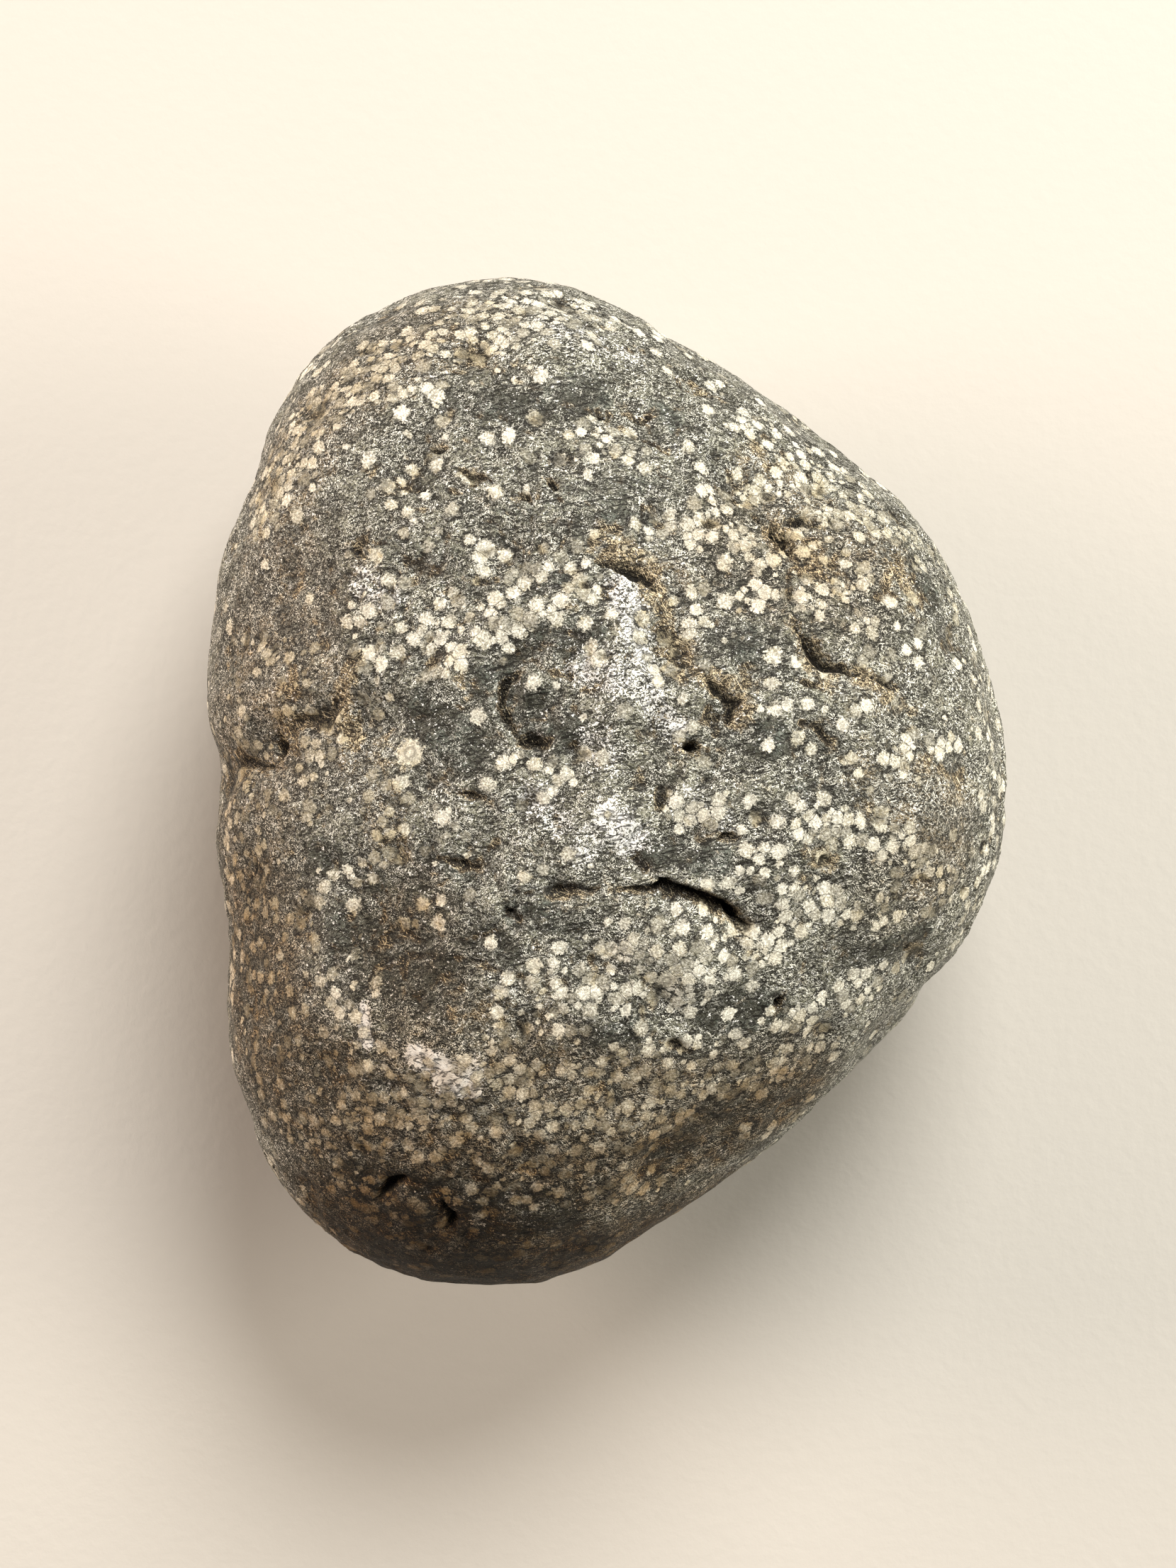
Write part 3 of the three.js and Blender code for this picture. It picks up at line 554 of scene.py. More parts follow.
# where the pale crystals lie
crystalPlan = {
    "seed": 5,
    "radius": (0.28, 0.50),  # mm
    "small": 0.3,  # share of crystals that are small
    "smallSize": 0.55,  # how large those are beside the rest
    # least distance between two centres over the sum of their radii, where the stone is bare and full
    "closeness": (0.70, 0.60),
    "fadedSize": 0.85,  # how large the worn dull ones are beside the rest
    "packedRate": 8.0,  # tries per square mm where the stone is full of them
    "base": 0.2,
    "slateLoss": 0.6,  # share of the base that clean dark glass loses
    # bands on the upper face: half width, how full from 0 to 1, then x and y along the path
    "bands": [
        (0.5, 0.9, -7, 8, -5.2, 9, -3.6, 9.8), (0.5, 0.5, -14.6, 10.8, -12.6, 10),
        (1.1, 0.5, -13.6, 7.4, -11, 8.4, -8.8, 9),
        (2.2, 0.85, -19.5, 16.5, -17.5, 20.5, -13.5, 23.8, -8.5, 26.2, -3, 27.2),
        (1, 0.7, -15.8, 21, -13.6, 22.2, -11.6, 22.6), (1, 0.7, -9, 26, -5, 26.4, -1.5, 25.6),
        (1.2, 0.5, -8, 28.5, -4, 29, 2, 26.5), (1.5, 0.65, -19.5, 20.5, -17.2, 18.6),
        (0.9, 0.6, -1.8, 19.4, 0.3, 20, 1.2, 18.8), (0.8, 0.6, 6.8, 20.6, 9.6, 20.4),
        (0.7, 0.85, 5.6, 15.8, 8, 16.8, 10.8, 17.6, 13.6, 17.2),
        (0.7, 0.95, 10.8, 15.2, 13, 15.6, 15.6, 15, 18.5, 13.4),
        (0.85, 0.75, 0.6, 14, 3.2, 15, 5.4, 13.9, 7.4, 14.5, 9.2, 12.6),
        (3.4, 0.42, -19.5, 6, -21, -4, -20, -14, -16, -21), (2.4, 0.35, -15.5, -6, -15, -14),
        (0.6, 0.75, 7.8, 10.6, 10.4, 10.4, 12.6, 11, 14.8, 12), (0.8, 0.4, 4, 8.3, 6.2, 9),
        (0.6, 0.8, 15.6, 1.6, 17.4, 2.2, 19.8, 2.4), (0.4, 0.35, 15.2, 0.6, 17.6, 0.4),
        (1.4, 0.48, 15.5, 16.2, 20, 10.5, 22.2, 4, 22.3, -3, 20.5, -8.5),
        (1.5, 0.65, 11, -2, 14, -2.6, 17.8, -4.2), (1.2, 0.75, 10.6, -6.4, 13.4, -7.2),
        (1.3, 0.5, 15.5, -7, 19, -6), (0.8, 0.7, 3.8, -1.3, 5.8, -1.8),
        (0.8, 0.6, 7.2, -5.6, 9.6, -5.8, 9.8, -8.8), (0.9, 0.5, 1.2, -8.2, 4.4, -7.4),
        (1.2, 0.9, -2.8, -12.2, -0.4, -12, 2, -11.9, 5, -11.6),
        (0.9, 0.7, 0.4, -9, 2.4, -9.3, 6.4, -9.3, 8.4, -9.6),
        (0.9, 0.6, -6.4, -14.4, -4.2, -13.4, -1.4, -13.2), (0.6, 0.6, 1.6, -14.9, 4, -14.3, 8.4, -14.4),
        (1.1, 0.7, 9.6, -13.4, 12.8, -12.6, 14.8, -11.4), (1.2, 0.7, 7.4, -16.9, 9.6, -16, 12.6, -14.8),
        (1, 0.9, 5.4, -9.6, 7.4, -10.2), (0.8, 0.7, 5.8, 16.6, 7.4, 17.4), (1, 0.8, 10.6, 18.6, 13.2, 18),
        (0.7, 0.85, -14.8, -17.9, -11.2, -17.5, -7.6, -17.4),
        (0.6, 0.85, -14.8, -19.1, -11.2, -19, -7.6, -18.7), (0.7, 0.7, -15, -20.9, -11, -20.6, -7, -21.4),
        (1, 0.75, -6.6, -15.6, -4.4, -16.4, -4.2, -18.4, -1, -19),
        (1.1, 0.75, 0.2, -17.4, 2.8, -17, 3.4, -18.8, 0.6, -19.8),
        (1, 0.6, -3.6, -21.6, -1.4, -21.4, 1.6, -21), (1.1, 0.6, -9, -23.2, -3, -23.4, 2, -23),
        (2.6, 0.5, -7.5, -18, -1.5, -17.5, 5, -17), (2.4, 0.45, -4, -21.5, 3, -21),
        (1.8, 0.5, -17.5, -19.5, -15.5, -22, -11, -25.5), (1.8, 0.3, -9, -27, -2, -27),
        (0.9, 0.6, -12.8, -4.4, -12.4, -2.2), (0.8, 0.35, -13.4, -1, -17.6, -2),
        (1, 0.6, -18.4, -7.8, -17, -7.2), (0.9, 0.5, -16.2, 3.8, -17.2, -0.4),
        (0.6, 0.4, -9.6, -1.6, -8, -1.8), (0.5, 0.6, -5.8, 1.6, -4.4, 1.2, -2.8, 1),
    ],
    # quiet stretches: half width, how much of the base stays, then x and y along the path
    "quiet": [
        (2.6, 0.35, 1, 4, 4, -3.5), (3.2, 0.15, -13.5, -10, -10, -12.5), (3, 0.3, -18, 12.5, -18.5, 7),
        (2.4, 0.3, -9, 4, -6, 0), (2, 0.2, 4, 22.5, 1.5, 22), (1.4, 0.2, 10, -10.6, 13, -9.6),
    ],
    # the flow layers that cross the rest of the stone
    "layerAcross": (0.28, -0.62, 0.73),
    "layerPitch": 4.6,
    "layerBend": (1.6, 9.0, 41),  # push in mm, size, seed
    "patches": (4.0, 42),  # size, seed
    "raggedBands": (0.5, 1.6, 43),  # push in mm, size, seed
    "layerFill": 0.75,
    "upperFrom": 4.0,  # mm above the widest level, where the bands above take over
    # single crystals worth placing: x, y, radius
    "placed": [
        (-7.5, 3.9, 0.5), (7.6, -3.6, 0.5), (8.6, -3.5, 0.38), (9.4, -3.7, 0.52), (9.6, -5.8, 0.36),
        (7.3, -6, 0.32), (8, -11.4, 0.5), (4.2, -14.4, 0.48), (9.3, -15.8, 0.46), (13.6, -3.2, 0.46),
        (16.4, -7.5, 0.46), (-9.8, -6.6, 0.42), (-8, -6.2, 0.42), (-10, -8, 0.5), (-8.7, -2.3, 0.32),
        (-2.4, -3.8, 0.44), (-11.6, 11.4, 0.46), (-9.9, 22.1, 0.54), (-4.3, 20.9, 0.52), (-11.8, 21, 0.54),
        (-11.4, 18.1, 0.42), (-7, 19.7, 0.46), (-5.8, 19.8, 0.46), (-4.4, 5.8, 0.46), (-3.1, 5.7, 0.26),
        (-0.6, -9.3, 0.44), (-2.9, -9.1, 0.46), (-5.8, -10.8, 0.44), (-5.5, 1.5, 0.36), (-4.3, 1.2, 0.44),
        (-3, 0.3, 0.36), (-2.1, 0.2, 0.3), (-6.9, 0.1, 0.5), (-3.8, -0.7, 0.46), (-3.3, -0.3, 0.36),
        (-0.5, 1.6, 0.48), (3.9, 2.8, 0.42), (4, 4.8, 0.34), (5.3, 11.3, 0.46), (4.6, 11, 0.4),
        (3.6, 10.6, 0.34), (5.3, 9.3, 0.44), (4.4, 8.6, 0.46), (9.1, 7.3, 0.56), (9, 5.7, 0.46),
        (9.8, 4.5, 0.4), (8.3, 4.3, 0.28), (4.7, 15.9, 0.48), (5.1, 18.1, 0.48), (5.6, 21.6, 0.46),
        (4.4, 19.3, 0.42), (5.9, 23.4, 0.46), (-2.4, 19.9, 0.36), (-1.7, 20.1, 0.36), (-2.9, 18.6, 0.46),
        (0.3, 18.8, 0.44), (1.1, 18.7, 0.34), (-1, 18.4, 0.44), (8.3, 12.2, 0.4), (9.3, 12.9, 0.54),
        (7.9, 13.1, 0.38), (17, 7.8, 0.38), (16.1, 7.5, 0.4), (16.4, 9.1, 0.32), (13.8, 8.9, 0.36),
        (14.6, 9.4, 0.3), (14.4, 4.5, 0.46), (16.5, 4.8, 0.36), (14, 0.7, 0.34), (17.2, 0.3, 0.28),
        (16.4, 0.6, 0.3), (11.5, 2.1, 0.42), (13.5, 12.8, 0.38), (13.6, 13.5, 0.3), (10.3, -0.7, 0.42),
        (7.8, -0.9, 0.46), (4.6, -1.3, 0.44), (5.3, -1.7, 0.46), (3.9, -2.5, 0.36), (11.6, -2.1, 0.44),
        (15.3, -2.2, 0.46), (15.9, -2.4, 0.34), (14.8, -3.3, 0.46), (15.8, -3.4, 0.44), (10.3, -4.8, 0.38),
        (8.7, -6.4, 0.46), (2.6, -7.7, 0.48), (0.8, -7.7, 0.38), (5.3, -7.1, 0.38), (1.6, -10.2, 0.34),
        (1.6, -9.3, 0.32), (2.1, -9.6, 0.28), (1.5, -11.4, 0.5), (-4.3, 12.3, 0.46), (-3.5, 12.3, 0.36),
        (-2.8, 12.9, 0.44), (-1.9, 13.5, 0.44), (-0.9, 14.2, 0.32), (-3.9, 11.7, 0.44), (-4.9, 11.5, 0.5),
        (-5.5, 10.9, 0.48), (-6.5, 10.5, 0.48), (-6.1, 10.1, 0.36), (-7.3, 10, 0.28), (-1.4, 12.6, 0.38),
        (-2.3, 12.3, 0.42), (-1.8, 11.5, 0.5), (-1.6, 10.8, 0.5), (-2.4, 11, 0.42), (-0.8, 11.1, 0.32),
        (-2.8, 10.3, 0.5), (-3.3, 9.8, 0.34), (-4.1, 10, 0.52), (-4.5, 9.2, 0.52), (-5.2, 9.5, 0.48),
        (-5.2, 8.7, 0.48), (-5.9, 8.9, 0.48), (-6.5, 9, 0.46), (-6.1, 8.3, 0.42), (-7.1, 8.1, 0.56),
        (-7.5, 8.5, 0.38), (-8.4, 7.4, 0.54), (-8.9, 7.7, 0.38), (-9, 6.9, 0.42), (-8.3, 6.7, 0.44),
        (-9.7, 6.4, 0.5), (-10.3, 6.2, 0.46), (-9.2, 6.2, 0.36), (-10.3, 7.8, 0.54), (-10.2, 8.4, 0.36),
        (-10.3, 9.3, 0.46), (-9.6, 10.2, 0.42), (-8.6, 10.4, 0.46), (-12, 7.5, 0.5), (-12.9, 6.8, 0.5),
        (-14.4, 7.6, 0.46), (-13.6, 9.8, 0.5), (-14.1, 9.2, 0.4), (-12.9, 9, 0.28), (-7.1, 13.5, 0.56),
        (-7.4, 12.9, 0.44), (-13.2, 12.9, 0.5), (-0.7, 7, 0.56), (-12.2, -15, 0.36), (-14.7, -9.7, 0.32),
        (-14.3, -4.4, 0.36), (-12.2, -4.3, 0.4), (-13.8, -5.4, 0.4),
    ],
    # crystals with a dark centre
    "ringed": [(-11.5, 1.9, 0.86), (3.1, -10.8, 0.64), (-12.2, -8.1, 0.5), (10.5, -13.7, 0.5)],
    "families": 4,  # touching crystals go to different families, so a crack can be drawn between them
}


# how full of crystals the stone is, 0 to 1: flow layers below, bands on a thin scatter on the upper face
def crystalFill(points, plan):
    bend, size, seed = plan["layerBend"]
    across = points @ unit(np.array(plan["layerAcross"])) + bend * softNoise(points, size, seed)
    layers = 0.5 + 0.5 * np.cos(2 * np.pi * across / plan["layerPitch"])
    patchy = 0.5 + 0.5 * softNoise(points, *plan["patches"])
    deep = plan["base"] * 0.6 + plan["layerFill"] * easeStep(0.45, 1.0, layers) * easeStep(0.2, 0.75, patchy)
    upper = plan["base"] * (0.55 + 0.9 * patchy)
    for halfWidth, stays, *stroke in plan["quiet"]:
        distance = besideStroke(points, stroke)
        upper = upper * (stays + (1 - stays) * easeStep(0.6 * halfWidth, 1.3 * halfWidth, distance))
    upper = upper * (1 - plan["slateLoss"] * painted(points, tintPlan["slate"]))
    push, size, seed = plan["raggedBands"]
    wander = push * softNoise(points, size, seed)
    for halfWidth, fill, *stroke in plan["bands"]:
        ragged = besideStroke(points, stroke) + wander
        upper = np.maximum(upper, fill * (1 - easeStep(0.7 * halfWidth, 1.35 * halfWidth, ragged)))
    share = easeStep(plan["upperFrom"] - 3, plan["upperFrom"] + 3, points[:, 2])
    return deep + (upper - deep) * share


# area that each point of the grid stands for: a quarter of each face around it
def pointAreas(points, quads):
    a, b, c, d = (points[quads[:, k]] for k in range(4))
    area = np.linalg.norm(np.cross(c - a, d - b), axis=1) / 2
    total = np.zeros(len(points))
    for k in range(4):
        np.add.at(total, quads[:, k], area / 4)
    return total


# crystals dropped one by one at random, each kept where its distance to every other one
# is at least the closeness times the sum of their radii
def dropCrystals(points, areas, plan):
    rng = np.random.default_rng(plan["seed"])
    fill = crystalFill(points, plan)
    faded = painted(points, tintPlan["faded"])
    tries = np.flatnonzero(rng.random(len(points)) < 1 - np.exp(-plan["packedRate"] * fill**2 * areas))
    rng.shuffle(tries)
    low, high = plan["radius"]
    radii = low + (high - low) * np.sqrt(rng.random(len(tries)))
    radii = np.where(rng.random(len(tries)) < plan["small"], radii * plan["smallSize"], radii)
    radii *= 1 - (1 - plan["fadedSize"]) * faded[tries]
    apart, together = plan["closeness"]
    placed = np.array(plan["ringed"] + plan["placed"])
    dropped = np.vstack([onUpperFace(placed[:, :2]), points[tries]])
    sizes = np.concatenate([placed[:, 2], radii])
    closeness = np.concatenate([np.full(len(placed), together), apart + (together - apart) * fill[tries]])
    kept = np.zeros((len(dropped), 3))
    keptSizes = np.zeros(len(dropped))
    family = np.zeros(len(dropped), int)
    count = 0
    for place, size, close in zip(dropped, sizes, closeness):
        gap = np.linalg.norm(kept[:count] - place, axis=1)
        if np.any(gap < close * (keptSizes[:count] + size)):
            continue
        room = [gap[family[:count] == k].min(initial=np.inf) for k in range(plan["families"])]
        kept[count], keptSizes[count], family[count] = place, size, int(np.argmax(room))
        count += 1
    kind = rng.random(count) * 0.9
    kind[:len(plan["ringed"])] = 1
    return {"at": kept[:count], "radius": keptSizes[:count], "family": family[:count],
            "shade": rng.random(count), "kind": kind}


# 1 - distance / radius of the nearest crystal of each family: 1 at its centre, 0 at its edge
def crystalFields(points, crystals, families):
    fields = np.full((len(points), families), -1.0)
    nearest = np.zeros((len(points), families), int)
    for k in range(families):
        members = np.flatnonzero(crystals["family"] == k)
        centres, radii = crystals["at"][members], crystals["radius"][members]
        for chunk in np.array_split(np.arange(len(points)), 60):
            span = (points[chunk] ** 2).sum(1)[:, None] + (centres**2).sum(1) - 2 * points[chunk] @ centres.T
            value = 1 - np.sqrt(np.maximum(span, 0)) / radii
            best = value.argmax(1)
            fields[chunk, k] = np.maximum(value[np.arange(len(chunk)), best], -1)
            nearest[chunk, k] = members[best]
    owner = nearest[np.arange(len(points)), fields.argmax(1)]
    return fields, crystals["shade"][owner], crystals["kind"][owner]


crystalFamilies = [f"crystals{k}" for k in range(crystalPlan["families"])]
crystals = dropCrystals(pebbleForm["body"], pointAreas(pebbleForm["body"], pebbleForm["quads"]), crystalPlan)
print("crystals dropped:", len(crystals["at"]))


# each point's value replaced by the average over the faces around it, as many times as asked
def blurOver(quads, values, times):
    count = np.bincount(quads.ravel(), minlength=len(values))
    for _ in range(times):
        middle = np.repeat(values[quads].mean(1), 4)
        values = np.bincount(quads.ravel(), weights=middle, minlength=len(values)) / count
    return values


wearPlan = {
    "blurs": [(6, 0.13), (70, 0.7)],  # times blurred, mm of relief for full strength
    "most": 1.5,
    "scarFull": 0.2,  # mm that a chip takes off where its scar is at full strength
}


# wear and painted shade: how far each point stands above (worn edge) or below (hollow, dirty and darkened as
# painted shade) its blurred surroundings
def wearAndShade(form, plan):
    total = 0
    for times, full in plan["blurs"]:
        total = total + (form["relief"] - blurOver(form["quads"], form["relief"], times)) / full
    return total


# one smooth-shaded object from its points, its four-cornered faces and their places on the map
def addMesh(name, points, quads, uvs):
    mesh = bpy.data.meshes.new(name)
    mesh.vertices.add(len(points))
    mesh.vertices.foreach_set("co", points.astype(np.float32).ravel())
    mesh.loops.add(quads.size)
    mesh.loops.foreach_set("vertex_index", quads.astype(np.int32).ravel())
    mesh.polygons.add(len(quads))
    mesh.polygons.foreach_set("loop_start", np.arange(0, quads.size, 4, dtype=np.int32))
    mesh.polygons.foreach_set("use_smooth", np.ones(len(quads), bool))
    layer = mesh.uv_layers.new(name="OFBake")
    layer.data.foreach_set("uv", uvs.astype(np.float32).ravel())
    mesh.update(calc_edges=True)
    mesh.validate()
    made = bpy.data.objects.new(name, mesh)
    bpy.context.scene.collection.objects.link(made)
    return made


# one number kept at each point of the piece
def addAttribute(piece, name, values):
    attribute = piece.data.attributes.new(name, "FLOAT", "POINT")
    attribute.data.foreach_set("value", values.astype(np.float32))


# millimetres from the middle to metres in the frame: the box's middle and foot are set on the node's
def toFrame(points):
    low, high = (np.array(corner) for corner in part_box(cadNode))
    foot = np.array([(low[0] + high[0]) / 2, (low[1] + high[1]) / 2, low[2]])
    least, most = points.min(0), points.max(0)
    middle = np.array([(least[0] + most[0]) / 2, (least[1] + most[1]) / 2, least[2]])
    return (points - middle) * mm + foot


# the stone's mesh with everything that its coats read: crystals, touches, wear and the hollows that take
# painted shade, scars and crevices
def makePebble(form):
    piece = addMesh("pebble", toFrame(form["surface"]), form["quads"], form["uvs"])
    body, most = form["body"], wearPlan["most"]
    fields, shade, kind = crystalFields(body, crystals, crystalPlan["families"])
    worn = wearAndShade(form, wearPlan)
    values = dict(zip(crystalFamilies, fields.T), crystalShade=shade, crystalKind=kind)
    for name, touches in tintPlan.items():
        values[name] = painted(body, touches) * easeStep(*tintFade, body[:, 2])
    values["hollow"] = np.clip(-worn, 0, most) / most
    values["edge"] = np.clip(worn, 0, most) / most
    values["scar"] = np.clip(form["scar"] / wearPlan["scarFull"], 0, 1)
    values["crevice"] = form["crevice"]
    for name, value in values.items():
        addAttribute(piece, name, value)
    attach(piece, "root")
    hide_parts(cadNode)
    return piece


pebble = makePebble(pebbleForm)
print("pebble made")


# a screen colour out of 255 as a linear one: c / 12.92 when dark, ((c + 0.055) / 1.055)^2.4 otherwise
def tone(*channels):
    shares = [channel / 255 for channel in channels]
    return (*(c / 12.92 if c <= 0.0405 else ((c + 0.055) / 1.055) ** 2.4 for c in shares), 1.0)


# one output socket of a shader tree, so that masks are written as sums and products
class Signal:
    def __init__(self, tree, socket=None):
        self.tree = tree
        self.socket = socket

    # any node: its type, its settings, then a value or a signal for each socket
    def node(self, kind, settings=None, sockets=None, output=0):
        made = self.tree.nodes.new(kind)
        for name, value in (settings or {}).items():
            setattr(made, name, value)
        for name, value in (sockets or {}).items():
            if isinstance(value, Signal):
                self.tree.links.new(value.socket, made.inputs[name])
            else:
                made.inputs[name].default_value = value
        return Signal(self.tree, made.outputs[output] if made.outputs else None)

    def math(self, operation, first, second=0.0):
        return self.node("ShaderNodeMath", {"operation": operation}, {0: first, 1: second})

    def __add__(self, other):
        return self.math("ADD", self, other)

    def __sub__(self, other):
        return self.math("SUBTRACT", self, other)

    def __rsub__(self, other):
        return self.math("SUBTRACT", other, self)

    def __mul__(self, other):
        return self.math("MULTIPLY", self, other)

    def __abs__(self):
        return self.math("ABSOLUTE", self)

    __radd__ = __add__
    __rmul__ = __mul__

    def most(self, other):
        return self.math("MAXIMUM", self, other)

    def least(self, other):
        return self.math("MINIMUM", self, other)

    # 0 at low to 1 at high, eased at both ends
    def ease(self, low, high):
        sockets = {"Value": self, "From Min": low, "From Max": high, "To Min": 0.0, "To Max": 1.0}
        return self.node("ShaderNodeMapRange", {"interpolation_type": "SMOOTHSTEP"}, sockets)

    # this signal picks between two colours
    def blend(self, without, full, way="MIX"):
        settings = {"data_type": "RGBA", "blend_type": way}
        return self.node("ShaderNodeMix", settings, {0: self, 6: without, 7: full}, 2)

    # this colour times another, as far as the share says
    def tinted(self, colour, share):
        return share.blend(self, colour, "MULTIPLY")

    # turned by the angles, then stretched to those lengths
    def stretched(self, angles, lengths):
        sockets = {"Vector": self, "Rotation": angles, "Scale": lengths}
        return self.node("ShaderNodeMapping", {"vector_type": "TEXTURE"}, sockets)

    def moved(self, offset):
        return self.node("ShaderNodeVectorMath", {"operation": "ADD"}, {0: self, 1: offset})

    def scaled(self, factor):
        return self.node("ShaderNodeVectorMath", {"operation": "SCALE"}, {0: self, "Scale": factor})

    # soft random pattern with features about that size
    def noise(self, size, detail=1.0, distortion=0.0, offset=0.0):
        sockets = {"Vector": self.moved((offset, offset * 1.7, -offset)), "Scale": 1 / size,
                   "Detail": detail, "Roughness": 0.55, "Distortion": distortion}
        return self.node("ShaderNodeTexNoise", None, sockets)

    # a number kept at each point
    def attribute(self, name):
        return self.node("ShaderNodeAttribute", {"attribute_name": name}, None, "Fac")

    # place on the piece, in mm
    def place(self):
        return self.node("ShaderNodeTexCoord", None, None, "Object").scaled(1 / mm)


stonePaint = {
    "glass": tone(49, 49, 41),
    "glassPale": tone(121, 121, 105),
    "glassBlue": tone(95, 103, 96),
    "glassKhaki": tone(122, 107, 80),
    # pale bruise marks, partly painted glints
    "bruiseAndGlint": tone(230, 230, 220),
    "ochreBruiseAndGlint": tone(208, 194, 162),
    "ochre": tone(70, 56, 38),
    # brown stain film, and at the lower end painted shade; the dark film below it is partly stain, partly
    # painted shade
    "brownFilmAndShade": tone(196, 172, 142),
    "darkFilmAndShade": tone(158, 134, 106),
    "crystal": tone(223, 221, 208),
    "crystalDull": tone(140, 136, 118),
    "crystalTan": tone(194, 182, 148),
    "crack": tone(52, 46, 38),
    # near black of the cracks, of the painted shade in the nicks, and of the grime and painted shade in the
    # crevices, hollows and crystal gaps
    "pit": tone(15, 12, 7),
    "frost": tone(234, 235, 233),
    # straight bruise marks, partly painted glints: turn about x, y, z, then length, width, least noise that
    # shows, strength
    "straightMarks": [
        ((0.3, 0.2, 0.3), (0.50, 0.054, 0.054), 0.684, 1.0),
        ((-0.4, 0.3, 1.3), (0.44, 0.054, 0.054), 0.689, 1.0),
        ((0.2, -0.4, 2.2), (0.46, 0.052, 0.052), 0.684, 1.0),
        ((0.1, 0.9, 0.8), (0.60, 0.056, 0.056), 0.694, 1.0),
        ((-0.2, 0.5, -0.25), (0.56, 0.054, 0.054), 0.689, 1.0),
    ],
    # curved bruise marks, partly painted glints: spacing, half thickness of the line in noise units,
    # strength, offset
    "curvedMarks": [(0.42, 0.026, 0.5, 3.1)],
    "specks": (0.10, 0.705, 0.7),  # size in mm, least noise that shows, strength
    # long pale fibres in the ochre stains: the same values as the straight marks
    "fibres": [
        ((0.1, 0.2, -1.1), (1.20, 0.062, 0.062), 0.655, 1.0),
        ((0.0, -0.3, -0.4), (0.90, 0.060, 0.060), 0.66, 0.9),
    ],
    # dark nicks along the flow of the glass, small dents whose dark is painted shade: the same values as the
    # straight marks
    "nicks": [
        ((0.1, 0.1, 0.15), (0.80, 0.15, 0.15), 0.655, 1.0),
        ((-0.2, 0.1, -0.45), (0.60, 0.13, 0.13), 0.66, 0.9),
        ((0.2, 0.0, 0.7), (0.50, 0.13, 0.13), 0.665, 0.8),
    ],
    # thin dark cracks: the same values as the straight marks
    "cracks": [
        ((0.2, 0.1, 0.1), (0.55, 0.060, 0.060), 0.655, 1.0),
        ((-0.1, 0.3, -0.7), (0.45, 0.060, 0.060), 0.665, 0.9),
        ((0.1, -0.2, 1.0), (0.40, 0.056, 0.056), 0.67, 0.8),
    ],
    # noises that the coats read: size in mm, detail, distortion, offset
    "noises": {
        "cloud": (1.6, 4, 0, 60), "grain": (0.15, 2, 0, 70), "stain": (0.8, 3, 0.3, 90),
        "patch": (2, 4, 0, 80), "glint": (0.45, 3, 0, 85), "sugar": (0.13, 2, 0.6, 100),
        "blotch": (0.75, 3, 0.5, 105), "wobble": (0.24, 4, 0.8, 110), "fleck": (0.12, 3, 0.5, 120),
        "tarnish": (0.7, 2, 0, 130), "gapDirtAndShade": (0.9, 2, 0, 140),
    },
    # mm of height
    "nickDepth": 0.14,
    "crackHollow": 0.03,
    "openingDepth": 0.12,
    "markHeight": 0.025,
    "grainHeight": 0.03,
    "cloudHeight": 0.12,
    "crystalHeight": 0.045,
    "crackDepth": 0.04,
    "crystalWobble": 1.35,
    "rough": 0.62,
    "crystalRough": 0.12,
    "frostRough": 0.1,
    "scarGloss": 0.3,
    "refraction": 1.49,
    "shine": 0.2,
    # less brings the frosting, the ochre stains or the clean dark glass out everywhere
    "frostFrom": 1.34,
    "ochreFrom": 0.595,
    "cleanFrom": 0.87,
    "openingShade": 0.85,  # how dark the crevices are drawn, as grime and painted shade
    "gapShade": 0.7,  # how dark the gaps around the crystals are, as grime and painted shade
}


# curved marks: thin level lines of a noise, |noise - 0.5| < half, broken up by a second noise
def curvedMark(place, size, half, offset):
    wander = place.noise(size, 0.6, 0.4, offset)
    line = 1 - abs(wander - 0.5).ease(half * 0.3, half)
    gate = place.noise(size * 0.8, 0.0, 0.0, offset + 7.7).ease(0.52, 0.64)
    return line * gate


# straight marks: the peaks of a noise drawn out along one direction
def straightMark(place, angles, lengths, least, strength):
    drawn = place.moved((lengths[0] * 40, 0, angles[2] * 30)).stretched(angles, lengths)
    return drawn.noise(1.0, 0.0, 0.35).ease(least, least + 0.05) * strength


# the strongest of several sets of straight marks
def strongestMark(place, marks):
    total = straightMark(place, *marks[0])
    for mark in marks[1:]:
        total = total.most(straightMark(place, *mark))
    return total


# place in mm, the values kept at each point, the noises, and the masks that several coats share
def readStone(start, paint):
    kept = ["hollow", "edge", "scar", "crevice", "crystalShade", "crystalKind", *crystalFamilies, *tintPlan]
    read = {name: start.attribute(name) for name in kept}
    place = start.place()
    read["place"] = place
    read.update({name: place.noise(*noise) for name, noise in paint["noises"].items()})
    stained = read["ochre"] * 0.30 + read["brown"] * 0.06 + read["hollow"].ease(0.05, 0.6) * 0.2
    stained = stained + (1 - read["crevice"].ease(0.0, 0.8)) * 0.12
    ragged = (read["grain"] - 0.5) * 0.5 + (read["stain"] - 0.5) * 0.4
    read["opening"] = (ragged - read["crevice"]).ease(-0.05, 0.12)
    read["ochreShare"] = (stained + read["stain"] - paint["ochreFrom"]).ease(0.0, 0.22)
    clean = read["slate"] * 0.62 + read["cloud"] * 0.5 + read["stain"] * 0.7
    read["clean"] = (clean - paint["cleanFrom"]).ease(0.0, 0.30)
    return read


